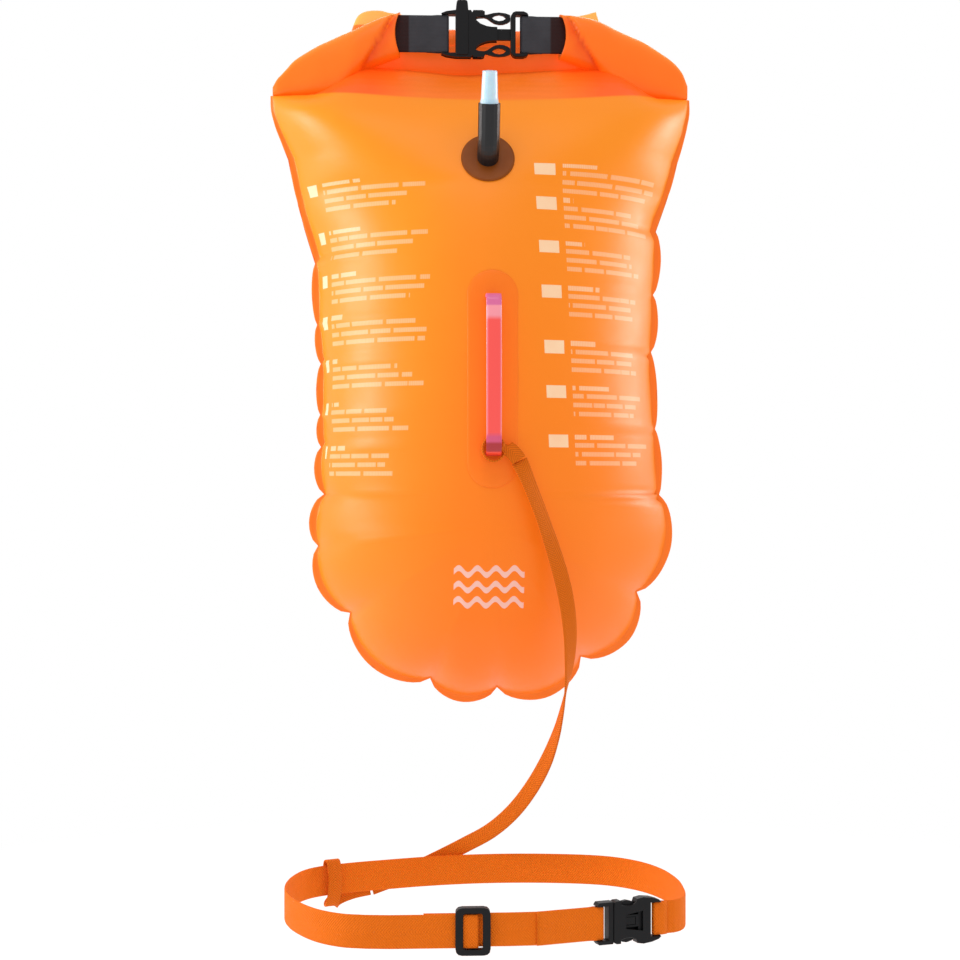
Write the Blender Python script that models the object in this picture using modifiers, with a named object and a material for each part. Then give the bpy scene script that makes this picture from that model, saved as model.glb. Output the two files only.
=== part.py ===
"""Open water swim buoy: an inflated roll-top dry bag with an oral valve, a grab handle,
a leash and a waist belt. Metres, +Z up, the front of the bag faces -Y, and the origin is
behind the closure strap, where a hook carries the buoy."""

import math

import bmesh
import bpy
from mathutils import Matrix, Vector

# Sheets and running gaps
GAP = 0.0003
OVERRUN = 0.004
SHEET = 0.0006
SEAM_GAP = 0.0004
SEAT_GAP = 0.0005
FLANGE = 0.0052
SEAM_STEP = 0.0022
SHOULDER_SHARE = 0.0973

# Bag
BAG_HALF_WIDTH = 0.144
BAG_HEIGHT = 0.452
BAG_DEPTH = 0.088
BACK_DEPTH = 0.080
DIVIDER_DEPTH = 0.066
LOBE_HEIGHT = 0.0062
FAN_CENTRE_Z = -0.330
NECK_HALF_WIDTH = 0.081
NECK_FOOT_X = 0.118
NECK_LOW_Z = -0.0700
MOUTH_Z = -0.0235
MOUTH_SAG = 0.0045
MOUTH_STEP_SHARE = 0.2
SHOULDER_Z = -0.0440
MOUTH_BACKSET = 0.0125

# Rolled collar and its stiffener
ROLL_HALF_HEIGHT = 0.0133
ROLL_HALF_THICKNESS = 0.0100
ROLL_CENTRE_Y = 0.0130
ROLL_CENTRE_Z = -0.0066
ROLL_LEFT_X = -0.0795
ROLL_RIGHT_X = 0.0770
ROLL_SHEET = 0.0012
ROLL_PITCH = 0.0024
ROLL_TURNS = 2.8
ROLL_FOOT_Z = -0.0320
ROLL_FLAP_HALF_HEIGHT = 0.0240
ROLL_FLAP_LENGTH = 0.0225
STIFFENER_HEIGHT = 0.0105
STIFFENER_THICKNESS = 0.0014

# Folded ears
EAR_SHELL = 0.0014
EAR_TUNNEL_LENGTH = 0.0080
EAR_TUNNEL_HALF_HEIGHT = 0.0129
EAR_TUNNEL_HALF_DEPTH = 0.0028

# Closure strap and whistle buckle
STRAP_WIDTH = 0.0250
STRAP_THICKNESS = 0.0010
STRAP_SLACK = 0.0070
STRAP_SEWN = 0.0090
CLOSURE_X = -0.0005
CLOSURE_Y = -0.0095
CLOSURE_Z = -0.0022
CLOSURE_HALF_LENGTH = 0.0298
CLOSURE_HALF_HEIGHT = 0.0153
CLOSURE_HALF_DEPTH = 0.0038
BAR_WIDTH = 0.0036
BAR_THICKNESS = 0.0022
ARM_HALF_DEPTH = 0.0014
BUCKLE_EDGE = 0.0004
WHISTLE_WIDTH = 0.0086
WHISTLE_HALF_DEPTH = 0.0044
WHISTLE_TOP = 0.0224
WHISTLE_MOUTH = 0.0012
CLOSURE_TRAVEL_LEFT = 0.0135
CLOSURE_TRAVEL_RIGHT = 0.0145

# Oral valve
VALVE_X = -0.0015
VALVE_Z = -0.0950
VALVE_DISC_RADIUS = 0.0172
VALVE_DISC = 0.0010
VALVE_TUBE_RADIUS = 0.0070
VALVE_BORE = 0.0032
VALVE_BARREL_BORE = 0.0063
VALVE_STEM_LENGTH = 0.0050
VALVE_BEND = 0.0075
VALVE_BARREL = 0.0200
VALVE_LEAN = math.radians(17)
VALVE_SEAT_DEPTH = 0.0125
VALVE_SEAT_THICKNESS = 0.0016
VALVE_SEAT_BORE = 0.0026
MOUTHPIECE_LENGTH = 0.0200
MOUTHPIECE_TIP_RADIUS = 0.0047
MOUTHPIECE_BORE = 0.0017
MOUTHPIECE_SKIRT = 0.0062
POPPET_DISC_RADIUS = 0.0044
POPPET_DISC = 0.0014
SPRING_RADIUS = 0.0036
SPRING_WIRE = 0.0004
SPRING_TURNS = 3
VALVE_TRAVEL = 0.0030

# Handle
HANDLE_X = 0.0004
HANDLE_TOP_Z = -0.1854
HANDLE_BOTTOM_Z = -0.2845
HANDLE_WIDTH = 0.0096
HANDLE_THICKNESS = 0.0016
HANDLE_RISE = 0.0118
PATCH_TOP_Z = -0.1684
PATCH_BOTTOM_Z = -0.3060
PATCH_WIDTH = 0.0320
PATCH_THICKNESS = 0.0006

# Leash
LEASH_WIDTH = 0.0105
LEASH_THICKNESS = 0.0012
LOOP_WIDTH = 0.0098
LOOP_THICKNESS = 0.0011

# Waist belt
BELT_WIDTH = 0.0200
BELT_THICKNESS = 0.0010
BELT_Z = -0.5663
BELT_FRONT_Y = -0.1680
BELT_TURN = math.radians(18)
BELT_TURN_X = 0.0120
BELT_TAIL_X = 0.0550
BELT_SEWN = 0.0140
SLIDER_X = -0.0160
SLIDER_WIDTH = 0.0208
SLIDER_HEIGHT = 0.0280
SLIDER_SIDE_BAR = 0.0046
SLIDER_CENTRE_BAR = 0.0030
SLIDER_BAR_THICKNESS = 0.0014
SLIDER_RIM = 0.0017
SLIDER_CORNER = 0.0042
BELT_MOUTH_X = 0.0712
BELT_SOCKET_LENGTH = 0.0320
BELT_SOCKET_HALF_HEIGHT = 0.0140
BELT_SOCKET_HALF_DEPTH = 0.0036
BELT_PLUG_LENGTH = 0.0105
BELT_PLUG_HALF_DEPTH = 0.0022
BELT_BAR_WIDTH = 0.0032
BELT_BAR_THICKNESS = 0.0014
BELT_ARM_HALF_DEPTH = 0.0014

ORANGE = (0.95, 0.24, 0.02)
DEEP_ORANGE = (0.80, 0.16, 0.02)
PINK = (0.90, 0.16, 0.20)
BLACK = (0.015, 0.015, 0.017)
CHARCOAL = (0.05, 0.05, 0.055)
PALE_BLUE = (0.62, 0.80, 0.92)
SMOKE = (0.30, 0.13, 0.05)
STEEL = (0.60, 0.60, 0.62)

# Weld line of the bag, from the left shoulder down round the bottom to the right one.
# Each row is a station as shares of the half width and the height, and how far the lobe
# that follows it swells, as a share of the lobe height.
LEFT_EDGE_SHARES = (
    (-1.000, 0.095, 0.05),
    (-0.988, 0.130, 0.05),
    (-0.918, 0.190, 0.05),
    (-0.876, 0.251, 0.10),
    (-0.793, 0.344, 0.48),
    (-0.783, 0.435, 0.45),
    (-0.766, 0.493, 0.48),
    (-0.769, 0.569, 0.48),
    (-0.765, 0.617, 0.92),
    (-0.751, 0.687, 1.29),
    (-0.779, 0.764, 2.00),
)
BOTTOM_EDGE_SHARES = (
    (-0.630, 0.864, 3.05),
    (-0.255, 0.962, 2.10),
    (0.059, 0.976, 2.90),
    (0.455, 0.931, 2.80),
    (0.720, 0.834, 1.00),
)
RIGHT_EDGE_SHARES = (
    (0.969, 0.095, 0.05),
    (0.962, 0.130, 0.05),
    (0.912, 0.190, 0.05),
    (0.868, 0.240, 0.05),
    (0.810, 0.293, 0.71),
    (0.796, 0.388, 0.68),
    (0.787, 0.474, 0.47),
    (0.806, 0.589, 0.53),
    (0.825, 0.688, 2.55),
    (0.720, 0.834, 0.00),
)
# How far the front stands out down the middle, as shares of height and of full depth.
DEPTH_SHARES = (
    (0.0973, 0.02),
    (0.106, 0.22),
    (0.125, 0.43),
    (0.160, 0.61),
    (0.210, 0.76),
    (0.270, 0.88),
    (0.350, 0.96),
    (0.450, 1.00),
    (0.600, 1.00),
    (0.730, 0.95),
)
ROW_SHARES = (0.0973, 0.112, 0.150, 0.170, 0.215, 0.318, 0.365, 0.412, 0.455, 0.532, 0.600, 0.650)
RADIAL_SHARES = (0.0, 0.22, 0.43, 0.62, 0.78, 0.90, 0.97, 1.0)

# Buckle outlines: the upper half, as shares of the half length and the half height.
SOCKET_HALF_SHARES = (
    (-1.000, 0.62), (-1.000, 0.74), (-0.960, 0.86), (-0.860, 0.94), (-0.640, 1.00),
    (-0.315, 1.00), (-0.295, 0.92), (-0.265, 0.92), (-0.245, 1.00), (-0.055, 1.00),
    (-0.010, 0.955), (-0.010, 0.800), (-0.140, 0.780), (-0.200, 0.735), (-0.218, 0.670),
    (-0.195, 0.570), (-0.105, 0.420), (0.040, 0.310), (0.160, 0.275), (0.272, 0.272),
)
PLUG_HALF_SHARES = (
    (0.590, 0.80), (0.640, 0.95), (0.700, 1.00), (0.880, 1.00), (0.960, 0.93), (1.000, 0.80),
)
ARM_OUTER_SHARES = (
    (0.578, 0.86), (0.470, 0.935), (0.322, 0.968), (0.208, 0.945), (0.110, 0.895), (0.050, 0.865),
    (-0.088, 0.862), (-0.092, 0.985), (-0.160, 0.985), (-0.222, 0.870), (-0.228, 0.800),
    (-0.205, 0.775), (-0.030, 0.750), (0.055, 0.700), (0.140, 0.585), (0.222, 0.490),
    (0.322, 0.445), (0.420, 0.452), (0.520, 0.520), (0.578, 0.600),
)
ARM_LENS_SHARES = (
    (0.160, 0.735), (0.235, 0.830), (0.330, 0.868), (0.422, 0.830), (0.492, 0.715),
    (0.416, 0.620), (0.322, 0.588), (0.228, 0.640),
)
BELT_SOCKET_SHARES = (
    (0.000, 0.66), (0.010, 0.86), (0.060, 0.92), (0.150, 0.92), (0.155, 0.76), (0.250, 0.70),
    (0.380, 0.70), (0.460, 0.78), (0.490, 0.95), (0.620, 1.00), (0.800, 0.95), (0.940, 0.85),
    (1.000, 0.72), (1.000, 0.60),
)
BELT_WINDOW_SHARES = ((0.250, 0.30), (0.600, 0.43), (0.600, -0.43), (0.250, -0.30))
BELT_ARM_SHARES = (
    (-0.0875, 0.640), (0.158, 0.672), (0.172, 0.785), (0.200, 0.870), (0.290, 0.905), (0.400, 0.840),
    (0.455, 0.690), (0.500, 0.570), (0.500, 0.490), (0.400, 0.470), (0.250, 0.520), (0.100, 0.520),
    (-0.0875, 0.480),
)

# Ear sections from the shoulder corner in to the cuff: x, low z, high z, front y, back y.
EAR_SECTIONS = (
    (0.1425, -0.0445, -0.0402, -0.0022, 0.0022),
    (0.1365, -0.0449, -0.0330, -0.0062, 0.0052),
    (0.1270, -0.0449, -0.0225, -0.0100, 0.0080),
    (0.1130, -0.0445, -0.0142, -0.0140, 0.0110),
    (0.0960, -0.0415, -0.0046, -0.0175, 0.0130),
    (0.0875, -0.0350, -0.0012, -0.0190, 0.0130),
    (0.0800, -0.0285, 0.0020, -0.0196, 0.0018),
    (0.0700, -0.0225, 0.0072, -0.0200, 0.0012),
    (0.0570, -0.0172, 0.0134, -0.0196, 0.0006),
)

# Hand-chosen routes
BELT_BEND_POINTS = (
    (-0.0790, -0.1672), (-0.0930, -0.1628), (-0.1065, -0.1515), (-0.1175, -0.1340),
    (-0.1260, -0.1120), (-0.1300, -0.0870), (-0.1280, -0.0600), (-0.1210, -0.0370),
    (-0.1095, -0.0230), (-0.0900, -0.0125), (-0.0705, -0.0050), (-0.0368, 0.0060), (0.0014, 0.0125),
    (0.0421, 0.0115), (0.0790, 0.0030), (0.1010, -0.0150), (0.1140, -0.0420), (0.1195, -0.0750),
    (0.1190, -0.1050), (0.1170, -0.1210), (0.1132, -0.1310), (0.1082, -0.1361),
)
# Centre of the leash and the angle that its width is turned by about its run.
LEASH_POINTS = (
    (0.0168, -0.0939, -0.2890, 0), (0.0222, -0.0945, -0.3010, 30), (0.0312, -0.0938, -0.3240, 36),
    (0.0390, -0.0915, -0.3480, 24), (0.0452, -0.0880, -0.3720, 17), (0.0490, -0.0835, -0.3960, 30),
    (0.0502, -0.0770, -0.4180, 52), (0.0487, -0.0690, -0.4360, 80), (0.0468, -0.0590, -0.4520, 96),
    (0.0440, -0.0480, -0.4680, 112), (0.0385, -0.0350, -0.4870, 134), (0.0300, -0.0220, -0.5060, 150),
    (0.0190, -0.0070, -0.5240, 162), (0.0050, 0.0060, -0.5390, 170), (-0.0120, 0.0142, -0.5500, 174),
    (-0.0330, 0.0122, -0.5585, 178), (-0.0560, 0.0051, -0.5656, 180), (-0.0766, -0.0052, -0.5663, 180),
)


def clear_scene():
    for obj in list(bpy.data.objects):
        bpy.data.objects.remove(obj, do_unlink=True)


def new_collection(name):
    made = bpy.data.collections.new(name)
    bpy.context.scene.collection.children.link(made)
    return made


clear_scene()
PARTS = new_collection("open_water_swim_buoy")
CUTTERS = new_collection("cutters")
CUTTERS.hide_render = True


def material(name, colour, roughness=0.5, alpha=1.0):
    made = bpy.data.materials.new(name)
    made.use_nodes = True
    shader = made.node_tree.nodes["Principled BSDF"]
    shader.inputs["Base Color"].default_value = (*colour, 1.0)
    shader.inputs["Roughness"].default_value = roughness
    shader.inputs["Alpha"].default_value = alpha
    return made


def place(name, mesh, finish=None, collection=None):
    obj = bpy.data.objects.new(name, mesh)
    (collection or PARTS).objects.link(obj)
    if finish:
        obj.data.materials.append(finish)
    return obj


def as_cutter(obj):
    for collection in obj.users_collection:
        collection.objects.unlink(obj)
    CUTTERS.objects.link(obj)
    obj.hide_render = True
    obj.display_type = "WIRE"
    return obj


def combine(obj, other, operation="DIFFERENCE"):
    step = obj.modifiers.new(other.name, "BOOLEAN")
    step.operation = operation
    step.object = as_cutter(other)
    step.solver = "EXACT"
    return obj


def smooth(obj, angle=math.radians(35)):
    obj.data.shade_smooth()
    obj.data.set_sharp_from_angle(angle=angle)
    return obj


def from_curve(name, curve, finish, matrix=Matrix.Identity(4)):
    """The curve as a welded mesh object, in the place that the matrix gives."""
    guide = bpy.data.objects.new(name + "_curve", curve)
    CUTTERS.objects.link(guide)
    graph = bpy.context.evaluated_depsgraph_get()
    mesh = bpy.data.meshes.new_from_object(guide.evaluated_get(graph))
    bpy.data.objects.remove(guide, do_unlink=True)
    shape = bmesh.new()
    shape.from_mesh(mesh)
    bmesh.ops.remove_doubles(shape, verts=shape.verts, dist=WELD)
    bmesh.ops.recalc_face_normals(shape, faces=shape.faces)
    shape.to_mesh(mesh)
    shape.free()
    mesh.materials.clear()
    obj = place(name, mesh, finish)
    obj.matrix_world = matrix
    return smooth(obj)


WELD = 0.000002
PLANES = {
    "XY": Matrix(((1, 0, 0, 0), (0, 1, 0, 0), (0, 0, 1, 0), (0, 0, 0, 1))),
    "XZ": Matrix(((1, 0, 0, 0), (0, 0, -1, 0), (0, 1, 0, 0), (0, 0, 0, 1))),
    "YZ": Matrix(((0, 0, 1, 0), (1, 0, 0, 0), (0, 1, 0, 0), (0, 0, 0, 1))),
}


def plate(name, outlines, depth, plane, centre, finish=None, edge=0):
    """Flat outlines, the inner ones holes, extruded both ways from their plane."""
    curve = bpy.data.curves.new(name, "CURVE")
    curve.dimensions = "2D"
    curve.fill_mode = "BOTH"
    curve.extrude = depth / 2 - edge
    curve.bevel_depth = edge
    curve.bevel_resolution = 0
    curve.offset = -edge
    for outline in outlines:
        spline = curve.splines.new("POLY")
        spline.points.add(len(outline) - 1)
        for point, (across, up) in zip(spline.points, outline):
            point.co = (across, up, 0, 1)
        spline.use_cyclic_u = True
    matrix = Matrix.Translation(centre) @ PLANES[plane]
    return from_curve(name, curve, finish, matrix)


def rectangle(low_x, high_x, low_y, high_y):
    return ((low_x, low_y), (high_x, low_y), (high_x, high_y), (low_x, high_y))


def box(name, low, high, finish=None):
    """A primitive cube stretched between two corners."""
    shape = bmesh.new()
    bmesh.ops.create_cube(shape, size=1)
    low = Vector(low)
    high = Vector(high)
    for vert in shape.verts:
        vert.co = Vector(((a + b) / 2 + c * (b - a) for a, b, c in zip(low, high, vert.co)))
    mesh = bpy.data.meshes.new(name)
    shape.to_mesh(mesh)
    shape.free()
    return place(name, mesh, finish)


def rounded(outline, radius, steps=3):
    """The outline with each corner turned into a short curve."""
    points = []
    count = len(outline)
    for index in range(count):
        corner = Vector(outline[index])
        before = Vector(outline[index - 1]) - corner
        after = Vector(outline[(index + 1) % count]) - corner
        reach = min(radius, before.length / 2, after.length / 2)
        start = corner + before.normalized() * reach
        end = corner + after.normalized() * reach
        for step in range(steps + 1):
            t = step / steps
            points.append(tuple(start * (1 - t) ** 2 + corner * 2 * t * (1 - t) + end * t * t))
    return points


def smooth_route(points, steps):
    """A Catmull-Rom curve through the points; works on tuples of any length."""
    rows = [Vector(point) for point in points]
    route = []
    for index in range(len(rows) - 1):
        p1 = rows[index]
        p2 = rows[index + 1]
        p0 = rows[index - 1] if index else p1 * 2 - p2
        p3 = rows[index + 2] if index + 2 < len(rows) else p2 * 2 - p1
        for step in range(steps):
            t = step / steps
            route.append(
                (p1 * 2 + (p2 - p0) * t + (p0 * 2 - p1 * 5 + p2 * 4 - p3) * t**2
                 + (p1 * 3 - p0 - p2 * 3 + p3) * t**3) / 2
            )
    route.append(rows[-1])
    return route


def band_outline(path, thickness):
    """The closed outline of a strip of webbing that follows the path, seen edge-on."""
    rows = [Vector(point) for point in path]
    left = []
    right = []
    for index, point in enumerate(rows):
        before = rows[index] - rows[index - 1] if index else rows[1] - rows[0]
        after = rows[index + 1] - point if index + 1 < len(rows) else before
        before = before.normalized()
        after = after.normalized()
        normal = Vector((-(before.y + after.y), before.x + after.x)).normalized()
        reach = thickness / 2 / max(normal.dot(Vector((-after.y, after.x))), MITRE_SHARE)
        left.append(tuple(point + normal * reach))
        right.append(tuple(point - normal * reach))
    return left + right[::-1]


MITRE_SHARE = 0.5


def fold_path(bar_x, bar_y, direction, bar_width, bar_thickness, thickness, start, end):
    """A strip that comes from start, wraps the far side of a bar and goes back to end.
    The fold is on the side that direction points to; start and end are along x."""
    reach = bar_thickness / 2 + GAP + thickness / 2
    together = (thickness + GAP) / 2
    centre = bar_x + direction * bar_width / 2
    near = bar_x - direction * (bar_width / 2 + reach)
    joined = near - direction * reach * 2
    path = [(start, bar_y - together), (joined, bar_y - together), (near, bar_y - reach)]
    for step in range(FOLD_STEPS + 1):
        turn = math.pi * step / FOLD_STEPS
        path.append((centre + direction * reach * math.sin(turn), bar_y - reach * math.cos(turn)))
    path += [(near, bar_y + reach), (joined, bar_y + together), (end, bar_y + together)]
    return path


FOLD_STEPS = 6


def mirrored(half):
    """A closed outline from its upper half, given from one end to the other."""
    return list(half) + [(x, -z) for x, z in reversed(half)]


def scaled(shares, half_length, half_height, shift=0):
    return [(shift + x * half_length, z * half_height) for x, z in shares]


def turned(name, profile, matrix, finish, steps=24):
    """A profile of (radius, height) points from the top down, turned about z. One that
    leaves the axis at neither end is closed into a ring."""
    mesh = bpy.data.meshes.new(name)
    edges = [(i, i + 1) for i in range(len(profile) - 1)]
    if profile[0][0]:
        edges.append((len(profile) - 1, 0))
    mesh.from_pydata([(radius, 0, height) for radius, height in profile], edges, [])
    obj = place(name, mesh, finish)
    spin = obj.modifiers.new("turn", "SCREW")
    spin.steps = steps
    spin.render_steps = steps
    spin.use_merge_vertices = True
    spin.merge_threshold = WELD
    obj.matrix_world = matrix
    return obj


# Bag surface

def table(rows, share):
    """The value that a table of (share, value) rows gives between its rows, smoothly."""
    if share <= rows[0][0]:
        return rows[0][1]
    for (a, low), (b, high) in zip(rows, rows[1:]):
        if share <= b:
            t = (share - a) / (b - a)
            return low + (high - low) * t
    return rows[-1][1]


def station_z(share):
    """The height of a station: the bag's length is set out down from its shoulder."""
    return SHOULDER_Z - (share - SHOULDER_SHARE) * BAG_HEIGHT


def station_share(z):
    return SHOULDER_SHARE + (SHOULDER_Z - z) / BAG_HEIGHT


def edge_points(shares, steps):
    """The lobed weld line through the stations: each lobe is a bow between two notches."""
    points = []
    for (x0, z0, swell), (x1, z1, _) in zip(shares, shares[1:]):
        a = Vector((x0 * BAG_HALF_WIDTH, station_z(z0)))
        b = Vector((x1 * BAG_HALF_WIDTH, station_z(z1)))
        out = Vector((a.y - b.y, b.x - a.x)).normalized()
        for step in range(steps):
            t = step / steps
            points.append(a.lerp(b, t) + out * LOBE_HEIGHT * swell * math.sin(math.pi * t) ** LOBE_POWER)
    x1, z1, _ = shares[-1]
    points.append(Vector((x1 * BAG_HALF_WIDTH, station_z(z1))))
    return points


LOBE_POWER = 0.6


def edge_x(points, z):
    """Where the weld line of one side crosses a height."""
    for a, b in zip(points, points[1:]):
        if b.y <= z <= a.y:
            return a.x + (b.x - a.x) * (a.y - z) / max(a.y - b.y, WELD)
    return points[0].x if z > points[0].y else points[-1].x


def front_depth(z):
    return BAG_DEPTH * table(DEPTH_SHARES, station_share(z))


def lens(share, depth, reach):
    """Height of a circular arc over its chord, at a share of the half chord."""
    depth = max(depth, WELD)
    radius = (reach * reach + depth * depth) / (2 * depth)
    return math.sqrt(max(radius * radius - (share * reach) ** 2, 0)) - radius + depth


def right_edge(steps):
    return edge_points(RIGHT_EDGE_SHARES, steps)


def left_edge(steps):
    rows = LEFT_EDGE_SHARES + (BOTTOM_EDGE_SHARES[0],)
    return [Vector((point.x, point.y)) for point in edge_points_flipped(rows, steps)]


def edge_points_flipped(rows, steps):
    """The left edge runs down with the outside on its right, so its lobes bow the other way."""
    points = edge_points([(-x, z, swell) for x, z, swell in rows], steps)
    return [Vector((-point.x, point.y)) for point in points]


def mouth_rise(x):
    """How far the mouth of the bag stands above the shoulders, at a distance from the middle."""
    t = (abs(x) - NECK_HALF_WIDTH) / (NECK_FOOT_X - NECK_HALF_WIDTH)
    t = min(max(t, 0), 1)
    sag = MOUTH_SAG * min(abs(x) / NECK_HALF_WIDTH, 1) ** 2
    return (MOUTH_Z - SHOULDER_Z + sag) * (1 - t * t * (3 - 2 * t))


def bag_rays(steps):
    """Each ray runs from the middle of the bag to the seam: start, seam point, outward."""
    left = left_edge(steps)
    right = right_edge(steps)
    stations = [row[1] for row in LEFT_EDGE_SHARES + RIGHT_EDGE_SHARES] + list(ROW_SHARES)
    lowest = station_share(FAN_CENTRE_Z)
    shares = sorted({share for share in stations if SHOULDER_SHARE <= share <= lowest} | {lowest})
    rows = []
    last = 0
    for share in shares:
        if share - last < ROW_LEAST_SHARE:
            continue
        last = share
        z = station_z(share)
        rows.append((z, edge_x(left, z), edge_x(right, z)))
    centre = Vector((0, FAN_CENTRE_Z))
    below = [p for p in left if p.y < FAN_CENTRE_Z - WELD]
    bottom = edge_points(BOTTOM_EDGE_SHARES_OUT, steps)
    under = [p for p in right if p.y < FAN_CENTRE_Z - WELD][:-1]
    fan = below[:-1] + bottom + under[::-1]
    return rows, centre, fan


ROW_LEAST_SHARE = 0.006
BOTTOM_EDGE_SHARES_OUT = tuple((x, z, -swell) for x, z, swell in BOTTOM_EDGE_SHARES)


def panel_mesh(name, side, depth_share, seam_in, offset, steps, radial):
    """One sheet of the bag: a domed face inside the seam, then its flat weld flange.
    side is -1 in front and 1 behind; offset is how far the flange lies from the middle."""
    rows, centre, fan = bag_rays(steps)
    shape = bmesh.new()

    def ring(start, seam, outward, depth, backset):
        """Vertices from the middle of the sheet out to the flange's edge."""
        inner = seam - outward * (FLANGE + seam_in)
        reach = (inner - start).length
        made = []
        for share in radial:
            flat = start.lerp(inner, share)
            height = lens(share, depth, reach) * depth_share
            lift = (mouth_rise(flat.x) - seam_in * MOUTH_STEP_SHARE) * backset
            y = side * (offset + height) + MOUTH_BACKSET * backset * (1 - share * share)
            made.append(shape.verts.new((flat.x, y, flat.y + lift)))
        lift = (mouth_rise(seam.x) - seam_in * MOUTH_STEP_SHARE) * backset
        made.append(shape.verts.new((seam.x, side * offset, seam.y + lift)))
        return made

    rays = []
    previous = None
    for z, left_x, right_x in rows:
        backset = min(max((z - NECK_LOW_Z) / (SHOULDER_Z - NECK_LOW_Z), 0), 1) ** 2
        start = Vector((0, z))
        halves = []
        for x, way in ((left_x, -1), (right_x, 1)):
            outward = Vector((way, 0))
            halves.append(ring(start, Vector((x, z)), outward, front_depth(z), backset))
        row = halves[0][::-1] + halves[1][1:]
        bmesh.ops.weld_verts(shape, targetmap={halves[0][0]: halves[1][0]})
        row[len(halves[0]) - 1] = halves[1][0]
        if previous:
            for a, b, c, d in zip(previous, previous[1:], row[1:], row):
                shape.faces.new((a, b, c, d))
        previous = row
        rays = halves
    middle = rays[1][0]
    first = [middle] + rays[0][1:]
    last = [middle] + rays[1][1:]
    before = first
    for seam in fan:
        outward = (seam - centre).normalized()
        ray = ring(centre, seam, outward, front_depth(FAN_CENTRE_Z), 0)
        bmesh.ops.weld_verts(shape, targetmap={ray[0]: middle})
        ray[0] = middle
        join_rays(shape, before, ray)
        before = ray
    join_rays(shape, before, last)
    bmesh.ops.recalc_face_normals(shape, faces=shape.faces)
    shape.normal_update()
    if sum(face.normal.y * face.calc_area() for face in shape.faces) * side < 0:
        bmesh.ops.reverse_faces(shape, faces=shape.faces)
    mesh = bpy.data.meshes.new(name)
    shape.to_mesh(mesh)
    shape.free()
    return mesh


def join_rays(shape, before, ray):
    shape.faces.new((before[0], before[1], ray[1]))
    for a, b, c, d in zip(before[1:], before[2:], ray[2:], ray[1:]):
        shape.faces.new((a, b, c, d))


def sheet(name, side, depth_share, seam_in, offset, steps, radial, finish):
    obj = place(name, panel_mesh(name, side, depth_share, seam_in, offset, steps, radial), finish)
    wall = obj.modifiers.new("wall", "SOLIDIFY")
    wall.thickness = SHEET
    wall.offset = -1
    return smooth(obj)


def front_point(x, z):
    """A point of the front of the bag and the way out of it."""
    def height(px, pz):
        rows = bag_sides(pz)
        reach = (rows[1] if px > 0 else -rows[0]) - FLANGE
        return lens(abs(px) / reach, front_depth(pz), reach)

    step = SHEET
    slope_x = (height(x + step, z) - height(x - step, z)) / (2 * step)
    slope_z = (height(x, z + SLOPE_REACH) - height(x, z - SLOPE_REACH)) / (2 * SLOPE_REACH)
    out = Vector((-slope_x, -1, -slope_z)).normalized()
    offset = SHEET / 2 + SEAM_GAP + SHEET
    return Vector((x, -offset - height(x, z), z)), out


SLOPE_REACH = 0.004
SIDE_STEPS = 2


def bag_sides(z):
    return edge_x(left_edge(SIDE_STEPS), z), edge_x(right_edge(SIDE_STEPS), z)


def build_bag():
    orange = material("bag_orange", ORANGE, 0.35)
    radial = RADIAL_SHARES
    offset = SHEET / 2 + SEAM_GAP + SHEET
    sheet("front_panel", -1, 1, 0, offset, 4, radial, orange)
    sheet("back_panel", 1, BACK_DEPTH / BAG_DEPTH, 0, offset, 4, radial, orange)
    inner = material("divider_orange", DEEP_ORANGE, 0.4)
    sheet("divider_panel", 1, DIVIDER_DEPTH / BAG_DEPTH, SEAM_STEP, SHEET / 2, 2, radial, inner)


def bag_hull():
    """The bag from outside, a gap larger, which the collar's pieces are cut to sit on."""
    shape = bmesh.new()
    offset = SHEET / 2 + SEAM_GAP + SHEET + SEAT_GAP
    for side, depth_share in ((-1, 1), (1, BACK_DEPTH / BAG_DEPTH)):
        half = panel_mesh("bag_hull_half", side, depth_share, 0, offset, 4, RADIAL_SHARES)
        shape.from_mesh(half)
    shape.verts.index_update()
    shape.verts.ensure_lookup_table()
    count = len(shape.verts) // 2
    for edge in [edge for edge in shape.edges if edge.is_boundary]:
        a, b = (vert.index for vert in edge.verts)
        if max(a, b) < count:
            corners = [shape.verts[index] for index in (a, b, b + count, a + count)]
            shape.faces.new(corners)
    bmesh.ops.recalc_face_normals(shape, faces=shape.faces)
    mesh = bpy.data.meshes.new("bag_hull")
    shape.to_mesh(mesh)
    shape.free()
    hull = bpy.data.objects.new("bag_hull", mesh)
    hull.location.z = SEAT_GAP
    hull.scale.x = 1 + SEAT_GAP / BAG_HALF_WIDTH
    return as_cutter(hull)


def roll_point(turn):
    """A point of the rolled sheet, a number of turns in from its outer end underneath."""
    angle = 2 * math.pi * turn - math.pi / 2
    inset = ROLL_SHEET / 2 + ROLL_PITCH * turn
    y = ROLL_CENTRE_Y + (ROLL_HALF_THICKNESS - inset) * math.cos(angle)
    z = ROLL_CENTRE_Z + (ROLL_HALF_HEIGHT - inset) * math.sin(angle)
    return y, z


def flap_point(turn):
    """A point of the folded end of the roll, which stands above its outer turn."""
    angle = 2 * math.pi * turn
    y = ROLL_CENTRE_Y + (ROLL_HALF_THICKNESS - ROLL_SHEET) * math.cos(angle)
    z = ROLL_CENTRE_Z + (ROLL_FLAP_HALF_HEIGHT - ROLL_SHEET / 2) * math.sin(angle)
    return y, z


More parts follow.
